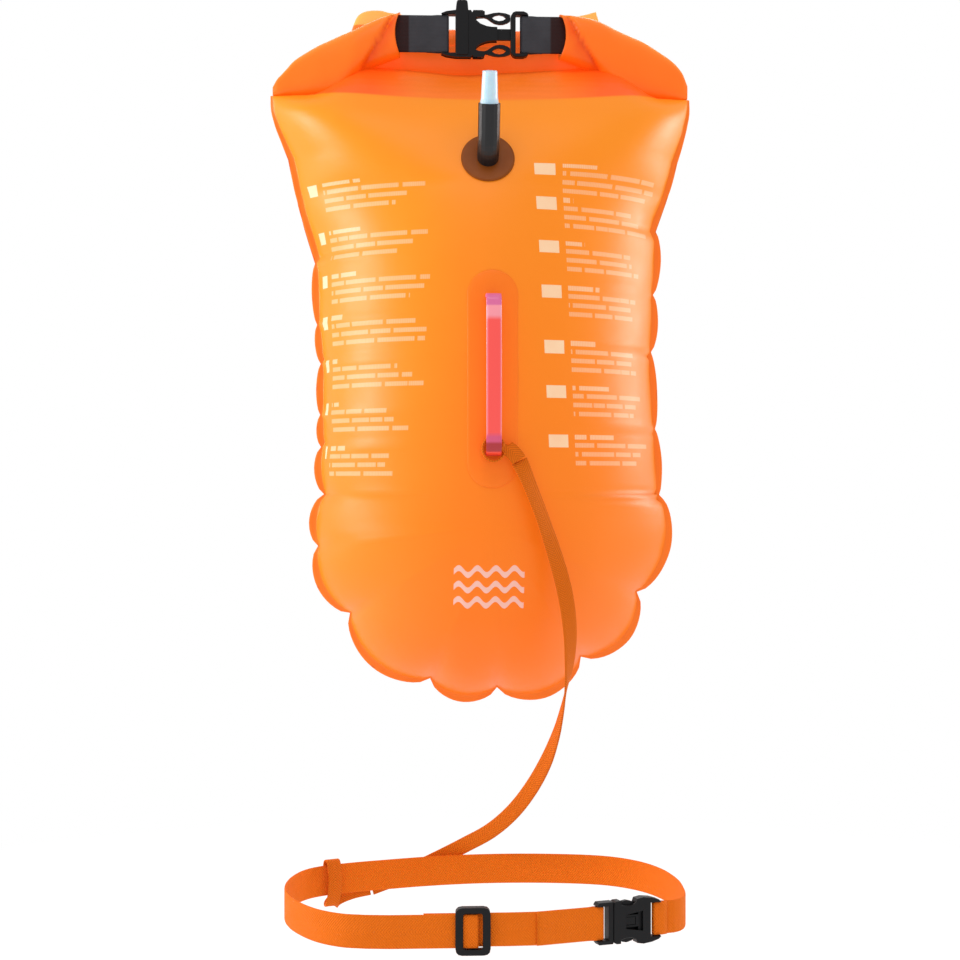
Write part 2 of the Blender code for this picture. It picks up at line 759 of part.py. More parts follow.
def build_roll(hull):
    """The mouth rolled down about its stiffener: a flattened spiral of doubled sheet."""
    count = int(ROLL_TURNS * ROLL_SIDES)
    path = [roll_point(step / ROLL_SIDES) for step in range(count + 1)]
    length = ROLL_RIGHT_X - ROLL_LEFT_X
    middle = (ROLL_RIGHT_X + ROLL_LEFT_X) / 2
    outline = band_outline(path, ROLL_SHEET)
    finish = material("roll_orange", ORANGE, 0.4)
    roll = plate("collar_roll", [outline], length, "YZ", (middle, 0, 0), finish)
    front = [roll_point(share) for share in ROLL_FOOT_FRONT_SHARES]
    back = [roll_point(share) for share in ROLL_FOOT_BACK_SHARES]
    foot = front + back + [(back[-1][0], ROLL_FOOT_Z), (front[0][0], ROLL_FOOT_Z)]
    combine(roll, plate("roll_foot", [foot], length, "YZ", (middle, 0, 0)), "UNION")
    flap = [flap_point(turn) for turn in ROLL_FLAP_TURNS]
    half_flap = ROLL_FLAP_LENGTH / 2
    for x in (ROLL_LEFT_X + half_flap, ROLL_RIGHT_X - half_flap):
        outline = band_outline(flap, ROLL_SHEET)
        combine(roll, plate("roll_flap", [outline], ROLL_FLAP_LENGTH, "YZ", (x, 0, 0)), "UNION")
    combine(roll, hull)
    half_height = STIFFENER_HEIGHT / 2
    half_thickness = STIFFENER_THICKNESS / 2
    low = (ROLL_LEFT_X + OVERRUN, ROLL_CENTRE_Y - half_thickness, ROLL_CENTRE_Z - half_height)
    high = (ROLL_RIGHT_X - OVERRUN, ROLL_CENTRE_Y + half_thickness, ROLL_CENTRE_Z + half_height)
    box("mouth_stiffener", low, high, material("stiffener", CHARCOAL, 0.5))


ROLL_SIDES = 20
ROLL_FLAP_TURNS = (0.02, 0.06, 0.12, 0.18, 0.25, 0.32, 0.38, 0.44, 0.48)
ROLL_FOOT_FRONT_SHARES = (0.93, 0.965, 1.0)
ROLL_FOOT_BACK_SHARES = (0.0, 0.05, 0.10)


def build_ear(name, side, finish, hull):
    """A folded end of the collar, lofted from the shoulder corner to the strap's cuff."""
    shape = bmesh.new()
    rings = []
    for x, low_z, high_z, front_y, back_y in EAR_SECTIONS:
        ring = []
        for step in range(EAR_SIDES):
            angle = 2 * math.pi * (step + 0.5) / EAR_SIDES
            across = math.copysign(abs(math.cos(angle)) ** EAR_SQUARENESS, math.cos(angle))
            up = math.copysign(abs(math.sin(angle)) ** EAR_SQUARENESS, math.sin(angle))
            y = (front_y + back_y) / 2 + across * (back_y - front_y) / 2
            z = (low_z + high_z) / 2 + up * (high_z - low_z) / 2
            ring.append(shape.verts.new((x * side, y, z)))
        rings.append(ring)
    for a, b in zip(rings, rings[1:]):
        for i in range(EAR_SIDES):
            j = (i + 1) % EAR_SIDES
            shape.faces.new((a[i], a[j], b[j], b[i]))
    shape.faces.new(rings[0])
    shape.faces.new(rings[-1])
    bmesh.ops.recalc_face_normals(shape, faces=shape.faces)
    mesh = bpy.data.meshes.new(name)
    shape.to_mesh(mesh)
    shape.free()
    ear = combine(smooth(place(name, mesh, finish)), hull)
    cuff_x = EAR_SECTIONS[-1][0] - OVERRUN
    tunnel_x = EAR_SECTIONS[-1][0] + EAR_TUNNEL_LENGTH
    low_z = CLOSURE_Z - EAR_TUNNEL_HALF_HEIGHT
    low = Vector((cuff_x, CLOSURE_Y - EAR_TUNNEL_HALF_DEPTH, low_z))
    high = Vector((tunnel_x, CLOSURE_Y + EAR_TUNNEL_HALF_DEPTH, CLOSURE_Z + EAR_TUNNEL_HALF_HEIGHT))
    if side < 0:
        low.x, high.x = -tunnel_x, -cuff_x
    return combine(ear, box(name + "_tunnel", low, high))


EAR_SIDES = 16
EAR_SQUARENESS = 0.7


def build_ears(hull):
    orange = material("ear_orange", ORANGE, 0.4)
    build_ear("left_ear", -1, orange, hull)
    build_ear("right_ear", 1, orange, hull)


def build_closure_straps():
    finish = material("closure_webbing", CHARCOAL, 0.6)
    cuff = EAR_SECTIONS[-1][0]
    bar = CLOSURE_HALF_LENGTH - BAR_WIDTH / 2
    for name, side in (("closure_strap_left", -1), ("closure_strap_right", 1)):
        start = side * (cuff + STRAP_SLACK)
        sewn = CLOSURE_X + side * (CLOSURE_HALF_LENGTH + STRAP_SEWN)
        path = fold_path(CLOSURE_X + side * bar, CLOSURE_Y, -side, BAR_WIDTH, BAR_THICKNESS,
                         STRAP_THICKNESS, start, sewn)
        plate(name, [band_outline(path, STRAP_THICKNESS)], STRAP_WIDTH, "XY", (0, 0, CLOSURE_Z),
              finish)


def strap_slot(bar_outer, bar_width, slot_reach, half_height, side):
    """The hole between a strap bar and the body of its buckle half."""
    near = bar_outer - side * bar_width
    far = near - side * slot_reach
    return rectangle(min(near, far), max(near, far), -half_height, half_height)


SLOT_REACH = 0.0068
PLUG_SLOT_REACH = 0.0054
BELT_SLOT_REACH = 0.0042
BELT_PLUG_SLOT_REACH = 0.0040
PIVOT_SHARE = 0.585


def build_closure_socket(plastic):
    """The whistle half: frame, strap bar, whistle, and two rails that hold the arms' catches."""
    centre = (CLOSURE_X, CLOSURE_Y, CLOSURE_Z)
    half = scaled(SOCKET_HALF_SHARES, CLOSURE_HALF_LENGTH, CLOSURE_HALF_HEIGHT)
    slot = strap_slot(-CLOSURE_HALF_LENGTH, BAR_WIDTH, SLOT_REACH, STRAP_WIDTH / 2 + GAP, -1)
    socket = plate("closure_socket", [mirrored(half), slot], 2 * CLOSURE_HALF_DEPTH, "XZ", centre,
                   plastic, BUCKLE_EDGE)
    bar_half = BAR_THICKNESS / 2
    left = CLOSURE_X - CLOSURE_HALF_LENGTH
    bar_end = left + BAR_WIDTH
    strap_half = STRAP_WIDTH / 2 + GAP
    for way, name in ((-1, "socket_bar_front"), (1, "socket_bar_back")):
        near = CLOSURE_Y + way * bar_half
        far = CLOSURE_Y + way * (CLOSURE_HALF_DEPTH + OVERRUN)
        low = (left - OVERRUN, min(near, far), CLOSURE_Z - strap_half)
        high = (bar_end + WELD, max(near, far), CLOSURE_Z + strap_half)
        combine(socket, box(name, low, high))
    whistle_left = left + BAR_WIDTH + SLOT_REACH
    whistle_right = whistle_left + WHISTLE_WIDTH
    taper = BUCKLE_EDGE * 2
    outline = (
        (whistle_left, -CLOSURE_HALF_HEIGHT + taper),
        (whistle_right, -CLOSURE_HALF_HEIGHT + taper),
        (whistle_right, CLOSURE_HALF_HEIGHT - taper),
        (whistle_right - taper, WHISTLE_TOP),
        (whistle_left + taper, WHISTLE_TOP),
        (whistle_left, CLOSURE_HALF_HEIGHT - taper),
    )
    column = plate("whistle_column", [rounded(outline, taper * 2)], 2 * WHISTLE_HALF_DEPTH, "XZ",
                   (0, CLOSURE_Y, CLOSURE_Z), None, BUCKLE_EDGE)
    combine(socket, column, "UNION")
    mouth_half = WHISTLE_MOUTH / 2
    whistle_floor = CLOSURE_Z + WHISTLE_TOP - WHISTLE_WIDTH
    low = (whistle_left + WHISTLE_MOUTH, CLOSURE_Y - mouth_half, whistle_floor)
    high = (whistle_right - WHISTLE_MOUTH, CLOSURE_Y + mouth_half, CLOSURE_Z + WHISTLE_TOP + OVERRUN)
    combine(socket, box("whistle_mouth", low, high))
    low = (whistle_left + WHISTLE_MOUTH, CLOSURE_Y, whistle_floor)
    high = (whistle_right - WHISTLE_MOUTH, CLOSURE_Y + WHISTLE_HALF_DEPTH + OVERRUN,
            whistle_floor + 2 * WHISTLE_MOUTH)
    combine(socket, box("whistle_window", low, high))
    pocket_half = ARM_HALF_DEPTH + GAP
    pocket_x = CLOSURE_X - POCKET_SHARE * CLOSURE_HALF_LENGTH
    lip_left = CLOSURE_X - LIP_LEFT_SHARE * CLOSURE_HALF_LENGTH
    mouth_x = CLOSURE_X + CLOSURE_HALF_LENGTH * BLADE_END_SHARE + OVERRUN
    for way, word in ((1, "upper"), (-1, "lower")):
        for name, right, floor, top in (
            ("pocket", lip_left, POCKET_FLOOR_SHARE, POCKET_TOP_SHARE),
            ("lip", mouth_x, POCKET_FLOOR_SHARE, LIP_SHARE),
        ):
            ends = sorted((way * floor * CLOSURE_HALF_HEIGHT, way * top * CLOSURE_HALF_HEIGHT))
            low = (pocket_x, CLOSURE_Y - pocket_half, CLOSURE_Z + ends[0])
            high = (right, CLOSURE_Y + pocket_half, CLOSURE_Z + ends[1])
            combine(socket, box(f"{name}_{word}", low, high))
    blade = BLADE_SHARE * CLOSURE_HALF_HEIGHT + GAP
    tip_x = CLOSURE_X - BLADE_TIP_SHARE * CLOSURE_HALF_LENGTH - GAP
    low = (tip_x, CLOSURE_Y - pocket_half, CLOSURE_Z - blade)
    high = (mouth_x, CLOSURE_Y + pocket_half, CLOSURE_Z + blade)
    combine(socket, box("blade_slot", low, high))
    return socket


POCKET_SHARE = 0.250
POCKET_FLOOR_SHARE = 0.560
POCKET_TOP_SHARE = 1.200
LIP_LEFT_SHARE = 0.076
LIP_SHARE = 0.886
BLADE_SHARE = 0.180
BLADE_TIP_SHARE = 0.210
BLADE_END_SHARE = 0.272


def build_closure_plug(plastic):
    """The plug half: strap bar frame and the centre blade that guides it."""
    half = scaled(PLUG_HALF_SHARES, CLOSURE_HALF_LENGTH, CLOSURE_HALF_HEIGHT)
    slot = strap_slot(CLOSURE_HALF_LENGTH, BAR_WIDTH, PLUG_SLOT_REACH, STRAP_WIDTH / 2 + GAP, 1)
    centre = (CLOSURE_X, CLOSURE_Y, CLOSURE_Z)
    plug = plate("closure_plug", [mirrored(half), slot], 2 * CLOSURE_HALF_DEPTH, "XZ", centre,
                 plastic, BUCKLE_EDGE)
    bar_half = BAR_THICKNESS / 2
    right = CLOSURE_X + CLOSURE_HALF_LENGTH
    bar_end = right - BAR_WIDTH
    strap_half = STRAP_WIDTH / 2 + GAP
    for way, name in ((-1, "plug_bar_front"), (1, "plug_bar_back")):
        near = CLOSURE_Y + way * bar_half
        far = CLOSURE_Y + way * (CLOSURE_HALF_DEPTH + OVERRUN)
        low = (bar_end - WELD, min(near, far), CLOSURE_Z - strap_half)
        high = (right + OVERRUN, max(near, far), CLOSURE_Z + strap_half)
        combine(plug, box(name, low, high))
    neck = NECK_SHARE * CLOSURE_HALF_HEIGHT
    blade = BLADE_SHARE * CLOSURE_HALF_HEIGHT
    root = CLOSURE_HALF_LENGTH * PLUG_HALF_SHARES[1][0]
    shoulder = CLOSURE_HALF_LENGTH * BLADE_END_SHARE + GAP
    tip = -BLADE_TIP_SHARE * CLOSURE_HALF_LENGTH
    outline = mirrored([(tip, blade - BUCKLE_EDGE), (tip + BUCKLE_EDGE, blade), (shoulder, blade),
                        (shoulder, neck), (root, neck)])
    tongue = plate("plug_blade", [outline], 2 * ARM_HALF_DEPTH, "XZ", centre)
    combine(plug, tongue, "UNION")
    return plug


NECK_SHARE = 0.240


def build_closure_arms(plastic):
    """The two sprung arms of the plug, with the open squeeze pads and the catches."""
    outer = scaled(ARM_OUTER_SHARES, CLOSURE_HALF_LENGTH, CLOSURE_HALF_HEIGHT)
    opening = scaled(ARM_LENS_SHARES, CLOSURE_HALF_LENGTH, CLOSURE_HALF_HEIGHT)
    pivot_x = PIVOT_SHARE * CLOSURE_HALF_LENGTH
    pivot_z = PIVOT_HEIGHT_SHARE * CLOSURE_HALF_HEIGHT
    for name, way in (("closure_arm_upper", 1), ("closure_arm_lower", -1)):
        loops = [[(x - pivot_x, way * (z - pivot_z)) for x, z in loop] for loop in (outer, opening)]
        centre = (CLOSURE_X + pivot_x, CLOSURE_Y, CLOSURE_Z + way * pivot_z)
        plate(name, loops, 2 * ARM_HALF_DEPTH, "XZ", centre, plastic)


PIVOT_HEIGHT_SHARE = 0.730


def valve_frame():
    """The barrel's matrix, z along it and the origin at its rim, and the bend's points."""
    foot, out = front_point(VALVE_X, VALVE_Z)
    along = Vector((0, -math.sin(VALVE_LEAN), math.cos(VALVE_LEAN)))
    knee = foot + out * (VALVE_STEM_LENGTH + VALVE_BEND)
    rise = knee + along * VALVE_BEND
    rim = rise + along * VALVE_BARREL
    side = Vector((1, 0, 0))
    turn = Matrix((side, along.cross(side), along)).transposed().to_4x4()
    return foot, out, knee, rise, rim, Matrix.Translation(rim) @ turn


def tube(name, points, radius, finish, resolution=4):
    curve = bpy.data.curves.new(name, "CURVE")
    curve.dimensions = "3D"
    curve.bevel_depth = radius
    curve.bevel_resolution = resolution
    curve.use_fill_caps = True
    spline = curve.splines.new("POLY")
    spline.points.add(len(points) - 1)
    for point, place_at in zip(spline.points, points):
        point.co = (*place_at, 1)
    return from_curve(name, curve, finish)


def bend_points(start, knee, end, steps):
    """A curve that leaves start towards the knee and ends along the line to end."""
    return [start * (1 - t) ** 2 + knee * 2 * t * (1 - t) + end * t * t
            for t in (step / steps for step in range(steps + 1))]


def surface_disc(name, outline_of, rings, sides, lift, thickness, hole, finish):
    """A thin welded patch that follows the bag: rings between the hole and the outline."""
    shape = bmesh.new()
    grid = []
    for ring in range(rings + 1):
        row = []
        for step in range(sides):
            x, z = outline_of(2 * math.pi * step / sides, hole + (1 - hole) * ring / rings)
            point, out = front_point(x, z)
            row.append(shape.verts.new(point + out * lift))
        grid.append(row)
    for a, b in zip(grid, grid[1:]):
        for i in range(sides):
            j = (i + 1) % sides
            shape.faces.new((a[i], a[j], b[j], b[i]))
    if not hole:
        bmesh.ops.remove_doubles(shape, verts=shape.verts, dist=WELD)
    bmesh.ops.recalc_face_normals(shape, faces=shape.faces)
    shape.normal_update()
    if sum(face.normal.y * face.calc_area() for face in shape.faces) > 0:
        bmesh.ops.reverse_faces(shape, faces=shape.faces)
    mesh = bpy.data.meshes.new(name)
    shape.to_mesh(mesh)
    shape.free()
    obj = smooth(place(name, mesh, finish))
    wall = obj.modifiers.new("wall", "SOLIDIFY")
    wall.thickness = thickness
    wall.offset = 1
    return obj


def build_valve():
    black = material("valve_black", BLACK, 0.4)
    foot, out, knee, rise, rim, barrel = valve_frame()
    hole_share = (VALVE_TUBE_RADIUS + GAP) / VALVE_DISC_RADIUS
    _, slope = front_point(VALVE_X, VALVE_Z)

    def disc(angle, share):
        up = VALVE_DISC_RADIUS * share * math.sin(angle) * -slope.y
        return VALVE_X + VALVE_DISC_RADIUS * share * math.cos(angle), VALVE_Z + up

    surface_disc("valve_base", disc, 3, 24, GAP * 2, VALVE_DISC, hole_share * HOLE_EASE,
                 material("valve_disc", SMOKE, 0.3))
    start = foot + out * FOOT_LIFT
    points = [start] + bend_points(foot + out * VALVE_STEM_LENGTH, knee, rise, 6) + [rim]
    body = tube("valve_tube", points, VALVE_TUBE_RADIUS, black, 6)
    inside = [start - out * OVERRUN] + points[1:-1] + [rim - (rim - rise) * SEAT_RISE]
    combine(body, tube("valve_airway", inside, VALVE_BORE, None, 2))
    top = VALVE_SEAT_DEPTH
    bore = turned("valve_barrel_bore", [
        (0, -top), (VALVE_BARREL_BORE, -top), (VALVE_BARREL_BORE, OVERRUN), (0, OVERRUN)][::-1],
        barrel, None)
    combine(body, bore)
    under = top + VALVE_SEAT_THICKNESS
    throat = turned("valve_throat", [
        (0, -top - OVERRUN), (VALVE_SEAT_BORE, -top - OVERRUN), (VALVE_SEAT_BORE, -top + OVERRUN),
        (0, -top + OVERRUN)][::-1], barrel, None)
    combine(body, throat)
    chamber_end = under + POPPET_DISC + VALVE_TRAVEL + 4 * GAP
    chamber = turned("valve_chamber", [
        (0, -chamber_end), (POPPET_DISC_RADIUS + GAP, -chamber_end),
        (POPPET_DISC_RADIUS + GAP, -under), (0, -under)][::-1], barrel, None)
    combine(body, chamber)
    pale = material("mouthpiece_blue", PALE_BLUE, 0.3)
    skirt = VALVE_BARREL_BORE - GAP
    turned("valve_mouthpiece", [
        (MOUTHPIECE_BORE, MOUTHPIECE_LENGTH), (MOUTHPIECE_TIP_RADIUS - BUCKLE_EDGE, MOUTHPIECE_LENGTH),
        (MOUTHPIECE_TIP_RADIUS, MOUTHPIECE_LENGTH - BUCKLE_EDGE),
        (skirt - 2 * GAP, VALVE_TRAVEL), (skirt, 0), (skirt, -MOUTHPIECE_SKIRT),
        (MOUTHPIECE_BORE, -MOUTHPIECE_SKIRT)], barrel, pale)
    stem = MOUTHPIECE_BORE - GAP
    seat_gap = under + GAP
    turned("valve_poppet", [
        (0, -MOUTHPIECE_SKIRT + OVERRUN), (stem, -MOUTHPIECE_SKIRT + OVERRUN), (stem, -seat_gap),
        (POPPET_DISC_RADIUS, -seat_gap), (POPPET_DISC_RADIUS, -seat_gap - POPPET_DISC),
        (0, -seat_gap - POPPET_DISC)], barrel, material("poppet_red", DEEP_ORANGE, 0.5))
    turns = []
    low = -top + SPRING_WIRE + GAP
    high = -MOUTHPIECE_SKIRT - SPRING_WIRE - GAP
    count = SPRING_TURNS * SPRING_POINTS
    for step in range(count + 1):
        angle = 2 * math.pi * step / SPRING_POINTS
        height = low + (high - low) * step / count
        turns.append(barrel @ Vector((SPRING_RADIUS * math.cos(angle), SPRING_RADIUS * math.sin(angle),
                                      height)))
    tube("valve_spring", turns, SPRING_WIRE, material("spring_steel", STEEL, 0.3), 1)
    hole = tube("valve_hole", [foot - out * OVERRUN * 2, foot + out * OVERRUN],
                VALVE_TUBE_RADIUS + 2 * GAP, None)
    combine(bpy.data.objects["front_panel"], hole)


HOLE_EASE = 1.02
FOOT_LIFT = -0.002
SEAT_RISE = 0.5
SPRING_POINTS = 10


def build_handle():
    half_length = (PATCH_TOP_Z - PATCH_BOTTOM_Z) / 2
    middle = (PATCH_TOP_Z + PATCH_BOTTOM_Z) / 2
    half_width = PATCH_WIDTH / 2

    def stadium(angle, share):
        x = half_width * share * math.cos(angle)
        straight = math.copysign(half_length - half_width, math.sin(angle)) * share
        if abs(math.sin(angle)) < WELD:
            straight = 0
        return HANDLE_X + x, middle + straight + half_width * share * math.sin(angle)

    surface_disc("handle_patch", stadium, 3, 28, GAP * 2, PATCH_THICKNESS, 0,
                 material("patch_orange", DEEP_ORANGE, 0.35))
    lift = GAP * 3 + PATCH_THICKNESS
    arch = HANDLE_RISE
    stations = [(HANDLE_BOTTOM_Z + shift * arch, rise * arch) for shift, rise in FOOT_SHARES]
    stations += [(HANDLE_BOTTOM_Z + (HANDLE_TOP_Z - HANDLE_BOTTOM_Z) * share, arch)
                 for share in HANDLE_SHARES]
    stations += [(HANDLE_TOP_Z - shift * arch, rise * arch) for shift, rise in FOOT_SHARES[::-1]]
    path = []
    for z, rise in stations:
        point, out = front_point(HANDLE_X, z)
        spot = point + out * (lift + rise)
        path.append((spot.y, spot.z))
    plate("handle_strip", [band_outline(path, HANDLE_THICKNESS)], HANDLE_WIDTH, "YZ",
          (HANDLE_X, 0, 0), material("handle_pink", PINK, 0.25, 0.7))


FOOT_SHARES = ((0, 0), (0, 0.55), (0.06, 0.75), (0.20, 0.90), (0.40, 0.98))
HANDLE_SHARES = (0.15, 0.3, 0.5, 0.7, 0.85)


def ribbon(name, rows, width, thickness, finish, steps=3):
    """Webbing along a route: each row is a point and the way its width lies there."""
    shape = bmesh.new()
    previous = None
    for row in smooth_route([(*point, *across) for point, across in rows], steps):
        point = Vector(row[:3])
        half = Vector(row[3:]).normalized() * width / 2
        pair = [shape.verts.new(point - half), shape.verts.new(point + half)]
        if previous:
            shape.faces.new((previous[0], previous[1], pair[1], pair[0]))
        previous = pair
    mesh = bpy.data.meshes.new(name)
    shape.to_mesh(mesh)
    shape.free()
    obj = place(name, mesh, finish)
    wall = obj.modifiers.new("wall", "SOLIDIFY")
    wall.thickness = thickness
    wall.offset = 0
    return obj


def build_leash():
    """The leash and its two sewn loops, round the handle's foot and round the belt."""
    webbing = material("leash_webbing", ORANGE, 0.7)
    rows = []
    points = [Vector(row[:3]) for row in LEASH_POINTS]
    for index, row in enumerate(LEASH_POINTS):
        run = points[min(index + 1, len(points) - 1)] - points[max(index - 1, 0)]
        across = run.cross(Vector((0, 1, 0))).normalized()
        out = across.cross(run).normalized()
        turn = math.radians(row[3])
        rows.append((points[index], across * math.cos(turn) + out * math.sin(turn)))
    ribbon("leash", rows, LEASH_WIDTH, LEASH_THICKNESS, webbing)
    ribbon("leash_top_loop", TOP_LOOP_ROWS, LOOP_WIDTH, LOOP_THICKNESS, webbing)
    along = Vector((math.cos(BELT_LOOP_ANGLE), math.sin(BELT_LOOP_ANGLE), 0))
    back = Vector((-along.y, along.x, 0))
    up = Vector((0, 0, 1))
    centre = Vector(BELT_LOOP_CENTRE)
    rows = []
    for right, behind, height, turn in BELT_LOOP_ROWS:
        angle = math.radians(turn)
        point = centre + along * right + back * behind + up * height
        rows.append((point, up * math.cos(angle) - along * math.sin(angle)))
    ribbon("leash_belt_loop", rows, LOOP_WIDTH, LOOP_THICKNESS, webbing)


def belt_frame():
    """Right of the slider the webbing bends back, so the buckle is turned about the bend."""
    pivot = Vector((BELT_TURN_X, BELT_FRONT_Y, 0))
    return Matrix.Translation(pivot) @ Matrix.Rotation(BELT_TURN, 4, "Z") @ Matrix.Translation(-pivot)


def on_belt(build, plastic):
    """Builds a buckle half along X and then turns it, cutters too, with the belt's end."""
    before = set(bpy.data.objects)
    build(plastic)
    for obj in set(bpy.data.objects) - before:
        obj.matrix_world = belt_frame() @ obj.matrix_world


def along_belt(path):
    return [tuple((belt_frame() @ Vector((x, y, 0))).xy) for x, y in path]


def build_belt():
    webbing = material("belt_webbing", DEEP_ORANGE, 0.6)
    socket_bar = BELT_MOUTH_X + BELT_SOCKET_LENGTH - BELT_BAR_WIDTH / 2
    socket_fold = fold_path(socket_bar, BELT_FRONT_Y, -1, BELT_BAR_WIDTH, BELT_BAR_THICKNESS,
                            BELT_THICKNESS, socket_bar + BELT_STUB, socket_bar + BELT_STUB)
    slider_fold = fold_path(SLIDER_X, BELT_FRONT_Y, 1, SLIDER_CENTRE_BAR, SLIDER_BAR_THICKNESS,
                            BELT_THICKNESS, BELT_BEND_POINTS[0][0] + BELT_SEWN,
                            SLIDER_X - SLIDER_WIDTH / 2 - BELT_SEWN)
    bend = [tuple(point) for point in smooth_route(BELT_BEND_POINTS, 2)]
    path = slider_fold[::-1] + bend + along_belt(socket_fold[1:][::-1])
    plate("belt_webbing", [band_outline(path, BELT_THICKNESS)], BELT_WIDTH, "XY", (0, 0, BELT_Z),
          webbing)
    plug_left = BELT_MOUTH_X - BELT_PLUG_LENGTH
    plug_bar = plug_left + BELT_BAR_WIDTH / 2
    sewn = SLIDER_X + SLIDER_WIDTH / 2 + BELT_TRAVEL
    wrapped = SLIDER_BAR_THICKNESS / 2 + GAP + BELT_THICKNESS
    behind = BELT_FRONT_Y + wrapped + GAP + BELT_THICKNESS / 2
    tail = fold_path(plug_bar, BELT_FRONT_Y, 1, BELT_BAR_WIDTH, BELT_BAR_THICKNESS,
                     BELT_THICKNESS, sewn, sewn)
    tail = along_belt(tail) + [(SLIDER_X + SLIDER_WIDTH, behind), (BELT_TAIL_END, behind)]
    plate("belt_tail", [band_outline(tail, BELT_THICKNESS)], BELT_WIDTH, "XY", (0, 0, BELT_Z),
          webbing)


def build_slider(plastic):
    """Ladder slide: a frame with its side bars in front of the webbing and a centre bar."""
    half_width = SLIDER_WIDTH / 2
    half_height = SLIDER_HEIGHT / 2
    outer = rounded(rectangle(-half_width, half_width, -half_height, half_height), SLIDER_CORNER)
    window_x = half_width - SLIDER_SIDE_BAR
    window_z = BELT_WIDTH / 2 + 2 * GAP
    window = rounded(rectangle(-window_x, window_x, -window_z, window_z), SLIDER_RIM)
    centre = (SLIDER_X, BELT_FRONT_Y, BELT_Z)
    slider = plate("belt_slider", [outer, window], 2 * SLIDER_HALF_DEPTH, "XZ", centre, plastic,
                   BUCKLE_EDGE)
    behind_bars = BELT_FRONT_Y - BELT_THICKNESS * 1.5 - GAP * 1.5
    low = (SLIDER_X - SLIDER_WIDTH, behind_bars, BELT_Z - window_z)
    high = (SLIDER_X + SLIDER_WIDTH, BELT_FRONT_Y + SLIDER_HALF_DEPTH + OVERRUN, BELT_Z + window_z)
    combine(slider, box("slider_throat", low, high))
    half_bar = SLIDER_CENTRE_BAR / 2
    half_thickness = SLIDER_BAR_THICKNESS / 2
    low = (SLIDER_X - half_bar, BELT_FRONT_Y - half_thickness, BELT_Z - window_z - SLIDER_RIM)
    high = (SLIDER_X + half_bar, BELT_FRONT_Y + half_thickness, BELT_Z + window_z + SLIDER_RIM)
    combine(slider, box("slider_bar", low, high), "UNION")


def build_belt_socket(plastic):
    """Belt buckle half with side openings for the arms and a window over the blade."""
    length = BELT_SOCKET_LENGTH
    half_height = BELT_SOCKET_HALF_HEIGHT
    centre = (BELT_MOUTH_X, BELT_FRONT_Y, BELT_Z)
    outline = mirrored(scaled(BELT_SOCKET_SHARES, length, half_height))
    slot_z = BELT_WIDTH / 2 + GAP
    slot_right = length - BELT_BAR_WIDTH
    slot = rectangle(slot_right - BELT_SLOT_REACH, slot_right, -slot_z, slot_z)
    socket = plate("belt_socket", [outline, slot], 2 * BELT_SOCKET_HALF_DEPTH, "XZ", centre,
                   plastic, BUCKLE_EDGE)
    half = BELT_BAR_THICKNESS / 2
    for way, word in ((-1, "front"), (1, "back")):
        near = BELT_FRONT_Y + way * half
        far = BELT_FRONT_Y + way * (BELT_SOCKET_HALF_DEPTH + OVERRUN)
        low = (BELT_MOUTH_X + slot_right - WELD, min(near, far), BELT_Z - slot_z)
        high = (BELT_MOUTH_X + length + OVERRUN, max(near, far), BELT_Z + slot_z)
        combine(socket, box(f"socket_end_bar_{word}", low, high))
    pocket = BELT_ARM_HALF_DEPTH + GAP
    for way, word in ((1, "upper"), (-1, "lower")):
        for number, (left, right, floor, top) in enumerate(BELT_POCKET_SHARES):
            ends = sorted((way * floor * half_height, way * top * half_height))
            low = (BELT_MOUTH_X + left * length, BELT_FRONT_Y - pocket, BELT_Z + ends[0])
            high = (BELT_MOUTH_X + right * length, BELT_FRONT_Y + pocket, BELT_Z + ends[1])
            combine(socket, box(f"belt_pocket_{word}_{number}", low, high))
    blade = BELT_BLADE_HALF_HEIGHT + GAP
    low = (BELT_MOUTH_X - OVERRUN, BELT_FRONT_Y - pocket, BELT_Z - blade)
    high = (BELT_MOUTH_X + BELT_BLADE_LENGTH + GAP, BELT_FRONT_Y + pocket, BELT_Z + blade)
    combine(socket, box("belt_blade_slot", low, high))
    opening = scaled(BELT_WINDOW_SHARES, length, half_height)
    depth = BELT_SOCKET_HALF_DEPTH
    window = plate("belt_window", [opening], depth, "XZ",
                   (BELT_MOUTH_X, BELT_FRONT_Y - depth + BELT_WINDOW_FLOOR, BELT_Z))
    combine(socket, window)


